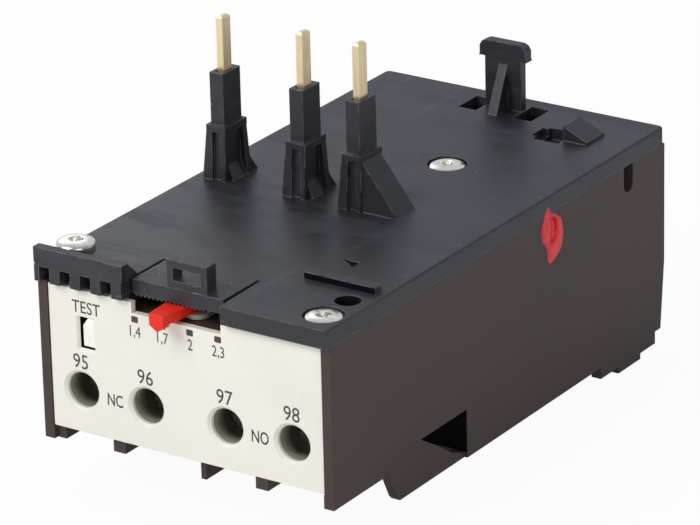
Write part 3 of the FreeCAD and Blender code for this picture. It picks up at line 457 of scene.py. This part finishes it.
def lacquer_finish(base):
    """Sealing lacquer dried with a skin: half glossy, wrinkled and uneven in colour."""
    finish = Finish("red_lacquer")
    cloud = finish.noise(900, 4, 0.6)
    tone = finish.blend(cloud.step(0.3, 0.7), shade(base, 0.72), shade(base, 1.2))
    wrinkle = finish.noise(1500, 4, 0.6, twist=1.0)
    finish.set(Base_Color=tone, Roughness=0.34 + cloud * 0.15, Specular_IOR_Level=0.35,
               Coat_Weight=0.12, Coat_Roughness=0.2, Normal=finish.bump(wrinkle, 0.6, 0.05 * MM))
    return finish.material


# ---------------------------------------------------------------- mesh helpers

def piece(name, shape, body, material):
    """Turn a bmesh into a finished piece that rides on a body of the relay."""
    mesh = bpy.data.meshes.new(name)
    shape.to_mesh(mesh)
    shape.free()
    made = bpy.data.objects.new(name, mesh)
    bpy.context.scene.collection.objects.link(made)
    mesh.materials.append(material)
    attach(made, body)
    return made


def lettering(text, high, narrow, centre, thick, weight=0.0):
    """A word as a raised mesh on the panel: centre is (x, z) in millimetres, weight thickens the strokes."""
    curve = bpy.data.curves.new("word", "FONT")
    curve.body = text
    curve.align_x = "CENTER"
    curve.align_y = "CENTER"
    curve.resolution_u = 4
    curve.offset = weight
    drawn = bpy.data.objects.new("word", curve)
    bpy.context.scene.collection.objects.link(drawn)
    bpy.context.view_layer.update()
    mesh = bpy.data.meshes.new_from_object(drawn)
    bpy.data.objects.remove(drawn)
    bpy.data.curves.remove(curve)
    shape = bmesh.new()
    shape.from_mesh(mesh)
    bpy.data.meshes.remove(mesh)
    across = [corner.co.x for corner in shape.verts]
    upward = [corner.co.y for corner in shape.verts]
    low = Vector((min(across), min(upward), 0.0))
    top = Vector((max(across), max(upward), 0.0))
    size = high / (top.y - low.y)
    bmesh.ops.translate(shape, verts=shape.verts, vec=-(low + top) / 2)
    bmesh.ops.scale(shape, verts=shape.verts, vec=(size * narrow, size, 1.0))
    return stand_on_panel(shape, centre, thick)


def thicken(shape, thick):
    """Raise the faces of a flat shape, so that it becomes a closed plate."""
    raised = bmesh.ops.extrude_face_region(shape, geom=list(shape.faces))
    lifted = [item for item in raised["geom"] if isinstance(item, bmesh.types.BMVert)]
    bmesh.ops.translate(shape, verts=lifted, vec=(0.0, 0.0, thick))


def turn_shape(shape, angle, axis):
    bmesh.ops.rotate(shape, verts=shape.verts, cent=(0, 0, 0), matrix=Matrix.Rotation(angle, 3, axis))


def stand_on_panel(shape, centre, thick):
    """Give a flat shape in x and y a thickness, and put it upright on the front panel."""
    thicken(shape, thick)
    turn_shape(shape, math.pi / 2, "X")
    place = (centre[0] * MM, PANEL_LOW.y, HOUSING_LOW.z + centre[1] * MM)
    bmesh.ops.translate(shape, verts=shape.verts, vec=place)
    bmesh.ops.recalc_face_normals(shape, faces=shape.faces)
    return shape


def spun(points, axis, closed=False):
    """Closed surface that a line of points makes when it turns round an axis through the origin."""
    shape = bmesh.new()
    corners = [shape.verts.new(point) for point in points]
    after = corners[1:] + corners[:1] if closed else corners[1:]
    edges = [shape.edges.new(pair) for pair in zip(corners, after)]
    bmesh.ops.spin(shape, geom=corners + edges, cent=(0, 0, 0), axis=axis, dvec=(0, 0, 0),
                   angle=2 * math.pi, steps=48, use_merge=True, use_duplicate=False)
    bmesh.ops.remove_doubles(shape, verts=shape.verts, dist=1e-7)
    bmesh.ops.recalc_face_normals(shape, faces=shape.faces)
    return shape


def tube(outer, inner, near, far):
    """Thin closed tube round the y axis, between two places along it."""
    profile = ((outer, near), (inner, near), (inner, far), (outer, far))
    shape = spun([(radius, y, 0.0) for radius, y in profile], (0, 1, 0), closed=True)
    for part in shape.faces:
        part.smooth = abs(part.normal.y) < 0.5
    return shape


def block(low, high):
    """Closed box between two corners given in millimetres."""
    shape = bmesh.new()
    made = bmesh.ops.create_cube(shape, size=1.0)["verts"]
    low, high = (Vector((x, y + FRONT, z)) * MM for x, y, z in (low, high))
    bmesh.ops.scale(shape, verts=made, vec=high - low)
    bmesh.ops.translate(shape, verts=made, vec=(low + high) / 2)
    bmesh.ops.bevel(shape, geom=list(shape.edges), offset=0.02 * MM, affect="EDGES", segments=1,
                    profile=0.5)
    return shape


def gather(shapes):
    """Join several bmeshes into one."""
    whole = bmesh.new()
    for shape in shapes:
        spare = bpy.data.meshes.new("spare")
        shape.to_mesh(spare)
        shape.free()
        whole.from_mesh(spare)
        bpy.data.meshes.remove(spare)
    return whole


# ---------------------------------------------------------------- printing

def print_panel():
    """Numbers, contact words and the setting scale, printed on the cream panel."""
    sizes = bpy.context.scene.relay_print
    material = ink(tuple(bpy.context.scene.relay_colours.ink))
    words = []
    for number, place in TERMINALS:
        centre = (place, SOLE + TERMINAL_LINE)
        words.append(lettering(number, sizes.terminal_high, 0.90, centre, sizes.ink_thick))
    for word, place in WORDS:
        centre = (place, SOLE + WORD_LINE)
        words.append(lettering(word, sizes.contact_high, 0.72, centre, sizes.ink_thick, 0.008))
    centre = (TEST_PLACE, SOLE + TEST_LINE)
    words.append(lettering("TEST", sizes.test_high, 0.87, centre, sizes.ink_thick, 0.003))
    piece("terminal_printing", gather(words), "housing", material)
    marks = []
    for number, place in DIAL:
        marks.append(dial_number(number, place, sizes))
        marks.append(dial_tick(place, sizes))
    piece("dial_printing", gather(marks), "housing", material)


def dial_number(number, place, sizes):
    """A number below its mark; a comma hangs under the line, so such a number is taller and lower."""
    has_comma = "," in number
    high = sizes.dial_high * (1.16 if has_comma else 1.0)
    middle = SOLE + DIAL_LINE - (0.12 if has_comma else 0.0)
    return lettering(number, high, 0.78, (place, middle), sizes.ink_thick)


def dial_tick(place, sizes):
    """Square mark with slightly rounded corners."""
    tick = bmesh.new()
    bmesh.ops.create_grid(tick, x_segments=1, y_segments=1, size=sizes.tick_wide / 2)
    bmesh.ops.scale(tick, verts=tick.verts, vec=(1.0, 0.84, 1.0))
    bmesh.ops.bevel(tick, geom=list(tick.verts), offset=0.12 * MM, affect="VERTICES", segments=2,
                    profile=0.5, material=-1)
    return stand_on_panel(tick, (place, SOLE + TICK_LINE), sizes.ink_thick)


# ---------------------------------------------------------------- screw heads

def pan_head(turn):
    """One pan head with its shank, spun from a half profile; its seat is at the origin."""
    profile = ((0.0, HEAD_HIGH), (1.1, HEAD_HIGH - 0.02), (1.8, HEAD_HIGH - 0.09), (2.2, HEAD_HIGH - 0.20),
               (2.45, HEAD_HIGH - 0.36), (2.56, HEAD_HIGH - 0.52), (HEAD_RADIUS, HEAD_HIGH - 0.75),
               (HEAD_RADIUS, 0.12), (HEAD_RADIUS - 0.12, 0.0), (SHANK_RADIUS, 0.0),
               (SHANK_RADIUS, 0.6 - SHANK_LONG), (SHANK_RADIUS - 0.4, -SHANK_LONG), (0.0, -SHANK_LONG))
    shape = spun([(x * MM, 0.0, z * MM) for x, z in profile], (0, 0, 1))
    for part in shape.faces:
        part.smooth = True
    turn_shape(shape, turn, "Z")
    return shape


def cross_cutter(turn, sizes):
    """Tapered cross that is cut out of a head, with the small star between its arms."""
    cutter = bmesh.new()
    top, low = (HEAD_HIGH + 0.2) * MM, (HEAD_HIGH - RECESS_DEEP) * MM
    arm = (sizes.recess_slot, sizes.recess_wide)
    ray = (sizes.recess_slot * 0.42, sizes.recess_wide * 0.62)
    for extra, (wide, across) in ((0.0, arm), (math.pi / 2, arm), (math.pi / 4, ray), (-math.pi / 4, ray)):
        made = bmesh.ops.create_cube(cutter, size=1.0)["verts"]
        bmesh.ops.scale(cutter, verts=made, vec=(across, wide, top - low))
        bmesh.ops.translate(cutter, verts=made, vec=(0, 0, (top + low) / 2))
        foot = [corner for corner in made if corner.co.z < (top + low) / 2]
        bmesh.ops.scale(cutter, verts=foot, vec=(0.42, 0.72, 1.0))
        bmesh.ops.rotate(cutter, verts=made, cent=(0, 0, 0), matrix=Matrix.Rotation(turn + extra, 3, "Z"))
    return cutter


def cut_with(shape, cutter):
    """Boolean difference of two bmeshes, returned as a new bmesh."""
    objects = []
    for name, source in (("head", shape), ("cutter", cutter)):
        mesh = bpy.data.meshes.new(name)
        source.to_mesh(mesh)
        source.free()
        made = bpy.data.objects.new(name, mesh)
        bpy.context.scene.collection.objects.link(made)
        objects.append(made)
    head, tool = objects
    cut = head.modifiers.new("recess", "BOOLEAN")
    cut.object = tool
    cut.operation = "DIFFERENCE"
    cut.solver = "EXACT"
    cut.use_self = True
    bpy.context.view_layer.update()
    result = bmesh.new()
    result.from_object(head, bpy.context.evaluated_depsgraph_get())
    for made in objects:
        bpy.data.objects.remove(made)
    return result


def cover_screw_heads():
    """The three pan-head screws of the cover, each with its own turn."""
    sizes = bpy.context.scene.relay_fasteners
    material = zinc_steel("turned_zinc", tuple(bpy.context.scene.relay_colours.zinc), True)
    shapes = []
    for x, y, lift, turn in COVER_SCREWS:
        head = cut_with(pan_head(turn), cross_cutter(turn, sizes))
        layer = head.verts.layers.float_vector.new("turned")
        for corner in head.verts:
            corner[layer] = Vector((corner.co.x, corner.co.y, 0.0))
        spot = (x * MM, (y + FRONT) * MM, (DECK + lift) * MM)
        bmesh.ops.translate(head, verts=head.verts, vec=spot)
        shapes.append(head)
    made = piece("cover_screw_heads", gather(shapes), "housing", material)
    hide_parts("cover_screws")


# ---------------------------------------------------------------- lacquer

def smooth_loop(points, steps):
    """Closed curve through the points, with a number of steps between each pair."""
    curve = []
    count = len(points)
    for index in range(count):
        before, start, end, after = (Vector(points[(index + shift) % count]) for shift in (-1, 0, 1, 2))
        for step in range(steps):
            t = step / steps
            curve.append(0.5 * (2 * start + (end - before) * t
                                + (2 * before - 5 * start + 4 * end - after) * t * t
                                + (3 * start - before - 3 * end + after) * t * t * t))
    return curve


def lacquer_ring(thick):
    """Ring of lacquer between the hole and its own torn outline, raised at the inner edge."""
    rim = smooth_loop(SMEAR_RIM, 6)
    # share of the way from the hole to the outline, and height in parts of the thickness
    rows = ((-0.12, -2.2), (0.0, 0.55), (0.14, 1.0), (0.3, 0.72), (0.6, 0.5), (0.88, 0.42), (1.0, 0.0))
    shape = bmesh.new()
    bands = []
    for along, height in rows:
        band = []
        for index, spot in enumerate(rim):
            flat = (spot.normalized() * LACQUER_HOLE).lerp(spot, along)
            wave = 0.85 + 0.15 * math.sin(index * 0.83) * math.sin(index * 0.31)
            band.append(shape.verts.new((height * wave * thick, flat.x * MM, flat.y * MM)))
        bands.append(band)
    count = len(rim)
    for near, far in zip(bands, bands[1:]):
        for index in range(count):
            after = (index + 1) % count
            shape.faces.new((near[index], near[after], far[after], far[index]))
    return smooth_skin(shape)


def lacquer_lump(thick):
    """Lump of lacquer that fills the left of the hole, still showing the screw's slot."""
    rings, count = 12, 48
    shape = bmesh.new()
    top = shape.verts.new((0.0, 0.0, 0.0))
    bands = []
    for ring in range(1, rings + 1):
        radius = ring / rings * LUMP_RADIUS
        turns = (index * 2 * math.pi / count for index in range(count))
        bands.append([shape.verts.new((0.0, radius * math.cos(turn) * MM,
                                       radius * LUMP_STRETCH * math.sin(turn) * MM)) for turn in turns])
    for index in range(count):
        after = (index + 1) % count
        shape.faces.new((top, bands[0][index], bands[0][after]))
        for near, far in zip(bands, bands[1:]):
            shape.faces.new((near[index], far[index], far[after], near[after]))
    for corner in shape.verts:
        corner.co.x = lump_height(corner.co.y / MM, corner.co.z / MM) * thick
        corner.co.y -= 0.72 * MM
    return smooth_skin(shape)


def lump_height(across, up):
    """Height of the lump in parts of the thickness: a dome with a slot, sunk at its rim."""
    sunk = -2.0
    share = min(1.0, math.hypot(across, up / LUMP_STRETCH) / LUMP_RADIUS)
    dome = 0.95 * math.sqrt(1.0 - share ** 2) if share < 0.995 else sunk
    slot = 2.4 * math.exp(-((across - 0.78 - 0.05 * up) / 0.16) ** 2)
    slot *= 1.0 if abs(up) < 1.5 else 0.2
    return max(sunk, dome - slot + 0.05 * math.sin(4 * up))


def smooth_skin(shape):
    for part in shape.faces:
        part.smooth = True
    bmesh.ops.recalc_face_normals(shape, faces=shape.faces)
    return shape


def lacquer_dab():
    """Dried lacquer round the calibration screw: a torn ring, and the lump on the screw."""
    thick = bpy.context.scene.relay_fasteners.lacquer_thick
    material = lacquer_finish(tuple(bpy.context.scene.relay_colours.lacquer))
    centre = (SEAT_LOW + SEAT_HIGH) / 2
    shape = gather((lacquer_ring(thick), lacquer_lump(thick)))
    place = (HOUSING_HIGH.x, centre.y - 0.2 * MM, centre.z + 0.15 * MM)
    bmesh.ops.translate(shape, verts=shape.verts, vec=place)
    made = piece("lacquer_smear", shape, "housing", material)
    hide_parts("lacquer_seal")


# ---------------------------------------------------------------- small mouldings, and black sheets of painted shade

def bore_linings():
    """Thin brown liners in the four screwdriver bores behind the panel."""
    near, far = PANEL_HIGH.y + 0.02 * MM, (3.2 + FRONT) * MM
    shapes = []
    for number, place in TERMINALS:
        shape = tube((BORE_RADIUS - 0.005) * MM, (BORE_RADIUS - 0.08) * MM, near, far)
        centre = (place * MM, 0.0, HOUSING_LOW.z + (SOLE + BORE_HIGH) * MM)
        bmesh.ops.translate(shape, verts=shape.verts, vec=centre)
        shapes.append(shape)
    piece("bore_linings", gather(shapes), "housing", olive_bore_tone())


def hole_shade_lining():
    """Painted shade: black sheet on the wall of the small hole in the cover."""
    low, high = 0.05 - COVER_THICK, -0.1
    shape = tube((HOLE_RADIUS - 0.005) * MM, (HOLE_RADIUS - 0.06) * MM, low * MM, high * MM)
    turn_shape(shape, math.pi / 2, "X")
    x, y = HOLE_SPOT
    bmesh.ops.translate(shape, verts=shape.verts, vec=(x * MM, (y + FRONT) * MM, DECK * MM))
    piece("hole_shade_lining", shape, "housing", black_recess("hole_shade_black"))


def window_shade_liner():
    """Painted shade: thin black sheets at the left of and below the test key, standing in for the shaded gap
    in its window.
    """
    low, high = SOLE + 18.6, SOLE + 23.1
    near, far = 0.52, 1.6
    left = block((-16.4, near, low), (-16.32, far, high))
    below = block((-16.3, near, low), (-13.95, far, low + 0.07))
    piece("window_shade_liner", gather((left, below)), "housing", black_recess("window_shade_black"))


def cover_corners():
    """Lower inner corners of the cover on both sides of the lever."""
    low, high = DECK - COVER_THICK, DECK - COVER_THICK + 0.56
    near, far = -0.69, 1.1
    shapes = [block((left, near, low), (right, far, high)) for left, right in ((6.47, 7.52), (-9.52, -8.82))]
    material = cover_plastic(tuple(bpy.context.scene.relay_colours.cover))
    piece("cover_corners", gather(shapes), "housing", material)


def bar_shade_face():
    """Painted shade: thin rough black plate on the front face of the stop bar, which lies in shade."""
    shape = block((10.52, 12.2, DECK + 0.02), (21.18, 12.24, DECK + 0.82))
    piece("bar_shade_face", shape, "housing", black_recess("bar_shade_black"))


def pointer_shade_floor():
    """Painted shade: black plate at the bottom of the triangular mark in the cover, for the shade inside the
    recess.
    """
    shape = bmesh.new()
    spots = ((11.2, 20.15), (13.75, 20.15), (13.7, 18.62))
    floor = (DECK - 0.40) * MM
    shape.faces.new([shape.verts.new((x * MM, (y + FRONT) * MM, floor)) for x, y in spots])
    thicken(shape, 0.3 * MM)
    bmesh.ops.recalc_face_normals(shape, faces=shape.faces)
    piece("pointer_shade_floor", shape, "housing", black_recess("pointer_shade_black"))


def bay_shade_backs():
    """Painted shade: rough black sheets on the back of the outer terminal bays, which show behind the
    slanted fins.
    """
    near, far, low, high = 31.1, 31.15, 3.4, 9.45
    inner, outer = 15.0, 22.47
    sides = ((inner, outer), (-outer, -inner))
    shapes = [block((left, near, low), (right, far, high)) for left, right in sides]
    piece("bay_shade_backs", gather(shapes), "housing", black_recess("bay_shade_black"))


# ---------------------------------------------------------------- CAD nodes

def give(material, *names):
    """Put one finish on carried-over nodes."""
    for name in names:
        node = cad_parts[name]
        node.data.materials.clear()
        node.data.materials.append(material)


def dress_cases():
    colours = bpy.context.scene.relay_colours
    give(cover_plastic(tuple(colours.cover)), "top_cover")
    give(housing_plastic(tuple(colours.housing)), "base_housing")
    give(panel_plastic(tuple(colours.panel)), "front_panel")


def dress_setting():
    colours = bpy.context.scene.relay_colours
    give(red_plastic(tuple(colours.lever)), "setting_lever")
    give(light_plastic("grey_moulding", (0.46, 0.46, 0.42), 0.42), "setting_cam", "trip_slide", "trip_lever")
    give(light_plastic("white_moulding", (0.94, 0.915, 0.82), 0.36), "test_key", "contact_carrier")


def dress_metal():
    colours = bpy.context.scene.relay_colours
    phases = ("1", "2", "3")
    pins = drawn_metal("tinned_brass", tuple(colours.pin), (0.62, 0.47, 0.27), 0.30, 2)
    give(pins, *("line_pin_" + phase for phase in phases))
    strip = drawn_metal("rolled_brass", (0.80, 0.60, 0.30), (0.45, 0.28, 0.14), 0.32, 1)
    give(strip, "nc_bridge", "no_bridge", *("load_strap_" + phase for phase in phases))
    give(strip, *("aux_strap_" + number for number, place in TERMINALS))
    bimetal = drawn_metal("bimetal_strip", (0.52, 0.51, 0.49), (0.42, 0.35, 0.26), 0.34, 2)
    give(bimetal, *("bimetal_" + phase for phase in phases))
    give(heater_wrap(), *("heater_" + phase for phase in phases))
    plated = zinc_steel("plated_steel", tuple(colours.zinc), False)
    give(plated, "aux_screws", "load_screws")
    give(lacquer_finish(tuple(colours.lacquer)), "lacquer_seal", "calibration_screw")


# ---------------------------------------------------------------- studio

def make_camera():
    """Long lens at the product view, three quarters from the front right and above."""
    yaw, pitch, roll = (math.radians(angle) for angle in (CAMERA_YAW, CAMERA_PITCH, CAMERA_ROLL))
    ahead = Vector((math.sin(yaw) * math.cos(pitch), math.cos(yaw) * math.cos(pitch), -math.sin(pitch)))
    level = ahead.cross(Vector((0, 0, 1))).normalized()
    down = ahead.cross(level)
    right = math.cos(roll) * level + math.sin(roll) * down
    lower = -math.sin(roll) * level + math.cos(roll) * down
    data = bpy.data.cameras.new("camera")
    data.sensor_width = 36.0
    data.lens = LENS
    data.clip_start = 0.01
    data.clip_end = 20.0
    made = bpy.data.objects.new("camera", data)
    facing = Matrix((right, -lower, -ahead)).transposed().to_4x4()
    made.matrix_world = Matrix.Translation(CAMERA_SPOT) @ facing
    bpy.context.scene.collection.objects.link(made)
    bpy.context.scene.camera = made


def aim_lamp(name, spot, target, wide, power):
    data = bpy.data.lights.new(name, "AREA")
    data.shape = "SQUARE"
    data.size = wide
    data.energy = power
    made = bpy.data.objects.new(name, data)
    made.location = spot
    made.rotation_mode = "QUATERNION"
    made.rotation_quaternion = (Vector(target) - Vector(spot)).to_track_quat("-Z", "Y")
    bpy.context.scene.collection.objects.link(made)


def floor_finish(brightness):
    """Pale floor that keeps part of the relay's shadow and fades into the white surround."""
    finish = Finish("studio_floor")
    finish.set(Base_Color=(brightness, brightness, brightness), Roughness=0.8)
    rays = finish.node("ShaderNodeLightPath")
    seen = Term(finish, rays.outputs["Is Camera Ray"]) + Term(finish, rays.outputs["Is Glossy Ray"]) * 0.25
    white = finish.node("ShaderNodeEmission", {}, {"Color": (1, 1, 1, 1), "Strength": 1.0})
    mixed = finish.node("ShaderNodeMixShader", {}, {
        0: seen * 0.95, 1: finish.shader.outputs["BSDF"], 2: white.outputs["Emission"]})
    out = [node for node in finish.tree.nodes if node.type == "OUTPUT_MATERIAL"][0]
    finish.tree.links.new(mixed.outputs[0], out.inputs["Surface"])
    return finish.material


def make_floor(brightness):
    shape = bmesh.new()
    bmesh.ops.create_circle(shape, cap_ends=True, radius=3.0, segments=96)
    mesh = bpy.data.meshes.new("studio_floor")
    shape.to_mesh(mesh)
    shape.free()
    floor = bpy.data.objects.new("studio_floor", mesh)
    bpy.context.scene.collection.objects.link(floor)
    mesh.materials.append(floor_finish(brightness))


def make_surround(strength):
    """White surround: plain light on the object, pure white behind it."""
    world = bpy.data.worlds.new("studio")
    bpy.context.scene.world = world
    world.use_nodes = True
    tree = world.node_tree
    tree.nodes.clear()
    place = tree.nodes.new("ShaderNodeTexCoord")
    facing = tree.nodes.new("ShaderNodeVectorMath")
    facing.operation = "DOT_PRODUCT"
    facing.inputs[1].default_value = BACKDROP_SIDE
    tree.links.new(place.outputs["Generated"], facing.inputs[0])
    fall = tree.nodes.new("ShaderNodeMapRange")
    tree.links.new(facing.outputs["Value"], fall.inputs["Value"])
    fall.inputs["From Min"].default_value = -0.4
    fall.inputs["From Max"].default_value = 0.7
    fall.inputs["To Min"].default_value = strength * SKY_SHARE
    fall.inputs["To Max"].default_value = strength
    rays = tree.nodes.new("ShaderNodeLightPath")
    seen = tree.nodes.new("ShaderNodeMapRange")
    tree.links.new(rays.outputs["Is Camera Ray"], seen.inputs["Value"])
    tree.links.new(fall.outputs["Result"], seen.inputs["To Min"])
    seen.inputs["To Max"].default_value = 1.0
    sky = tree.nodes.new("ShaderNodeBackground")
    tint = tree.nodes.new("ShaderNodeMix")
    tint.data_type = "RGBA"
    tree.links.new(rays.outputs["Is Camera Ray"], tint.inputs[0])
    tint.inputs[6].default_value = SKY_TINT
    tint.inputs[7].default_value = (1.0, 1.0, 1.0, 1.0)
    tree.links.new(tint.outputs[2], sky.inputs["Color"])
    tree.links.new(seen.outputs["Result"], sky.inputs["Strength"])
    out = tree.nodes.new("ShaderNodeOutputWorld")
    tree.links.new(sky.outputs["Background"], out.inputs["Surface"])


def make_studio():
    studio = bpy.context.scene.relay_studio
    bpy.context.scene.view_settings.view_transform = "Standard"
    make_floor(studio.floor_shade)
    make_surround(studio.sky)
    aim_lamp("key_lamp", *KEY_LAMP, studio.key_power)
    aim_lamp("fill_lamp", *FILL_LAMP, studio.fill_power)
    aim_lamp("card_lamp", *CARD_LAMP, studio.card_power)


# ---------------------------------------------------------------- operators

class RELAY_OT_stage(bpy.types.Operator):
    """Floor, surround, lamps and camera"""

    bl_idname = "relay.stage"
    bl_label = "Build the studio"

    def execute(self, context):
        make_studio()
        make_camera()
        return {"FINISHED"}


class RELAY_OT_cases(bpy.types.Operator):
    """Moulded finishes of the housing, the cover and the front panel"""

    bl_idname = "relay.cases"
    bl_label = "Finish the cases"

    def execute(self, context):
        dress_cases()
        return {"FINISHED"}


class RELAY_OT_setting(bpy.types.Operator):
    """Finishes of the setting lever, the cam, the test key and the inner mouldings"""

    bl_idname = "relay.setting"
    bl_label = "Finish the small mouldings"

    def execute(self, context):
        dress_setting()
        return {"FINISHED"}


class RELAY_OT_metal(bpy.types.Operator):
    """Finishes of the pins, straps, strips, heaters and inner screws"""

    bl_idname = "relay.metal"
    bl_label = "Finish the metal parts"

    def execute(self, context):
        dress_metal()
        return {"FINISHED"}


class RELAY_OT_printing(bpy.types.Operator):
    """Terminal numbers, contact words and the setting scale"""

    bl_idname = "relay.printing"
    bl_label = "Print the panel"

    def execute(self, context):
        print_panel()
        return {"FINISHED"}


class RELAY_OT_screws(bpy.types.Operator):
    """Pan heads with cross recesses for the cover screws"""

    bl_idname = "relay.screws"
    bl_label = "Fit the cover screws"

    def execute(self, context):
        cover_screw_heads()
        return {"FINISHED"}


class RELAY_OT_lacquer(bpy.types.Operator):
    """Dab of sealing lacquer over the calibration screw"""

    bl_idname = "relay.lacquer"
    bl_label = "Seal the calibration screw"

    def execute(self, context):
        lacquer_dab()
        return {"FINISHED"}


class RELAY_OT_mouldings(bpy.types.Operator):
    """Bore linings, cover corners, and black sheets of painted shade in the test key window, on the stop bar
    front, in the pointer mark, in the terminal bays and in the cover hole
    """

    bl_idname = "relay.mouldings"
    bl_label = "Add the small mouldings"

    def execute(self, context):
        bore_linings()
        window_shade_liner()
        cover_corners()
        pointer_shade_floor()
        bar_shade_face()
        bay_shade_backs()
        hole_shade_lining()
        return {"FINISHED"}


class RELAY_PT_dressing(bpy.types.Panel):
    """Lists the steps that dress the relay"""

    bl_idname = "RELAY_PT_dressing"
    bl_label = "Relay dressing"
    bl_space_type = "VIEW_3D"
    bl_region_type = "UI"
    bl_category = "Relay"

    def draw(self, context):
        for group in ("relay_print", "relay_fasteners", "relay_colours", "relay_studio"):
            holder = getattr(context.scene, group)
            for name in holder.__annotations__:
                self.layout.prop(holder, name)
        for operator in OPERATORS:
            self.layout.operator(operator.bl_idname)


GROUPS = (("relay_print", RelayPrintSizes), ("relay_fasteners", RelayFastenerSizes),
          ("relay_colours", RelayColours), ("relay_studio", RelayStudio))
OPERATORS = (RELAY_OT_stage, RELAY_OT_cases, RELAY_OT_setting, RELAY_OT_metal, RELAY_OT_printing,
             RELAY_OT_screws, RELAY_OT_lacquer, RELAY_OT_mouldings)


def register():
    for name, group in GROUPS:
        bpy.utils.register_class(group)
        setattr(bpy.types.Scene, name, PointerProperty(type=group))
    for operator in OPERATORS:
        bpy.utils.register_class(operator)
    bpy.utils.register_class(RELAY_PT_dressing)


def unregister():
    bpy.utils.unregister_class(RELAY_PT_dressing)
    for operator in reversed(OPERATORS):
        bpy.utils.unregister_class(operator)
    for name, group in reversed(GROUPS):
        delattr(bpy.types.Scene, name)
        bpy.utils.unregister_class(group)


def corners(box):
    return [list(corner) for corner in box]


def main():
    register()
    bpy.ops.relay.stage()
    bpy.ops.relay.cases()
    bpy.ops.relay.setting()
    bpy.ops.relay.metal()
    bpy.ops.relay.printing()
    bpy.ops.relay.screws()
    bpy.ops.relay.lacquer()
    bpy.ops.relay.mouldings()


if __name__ == "__main__":
    main()
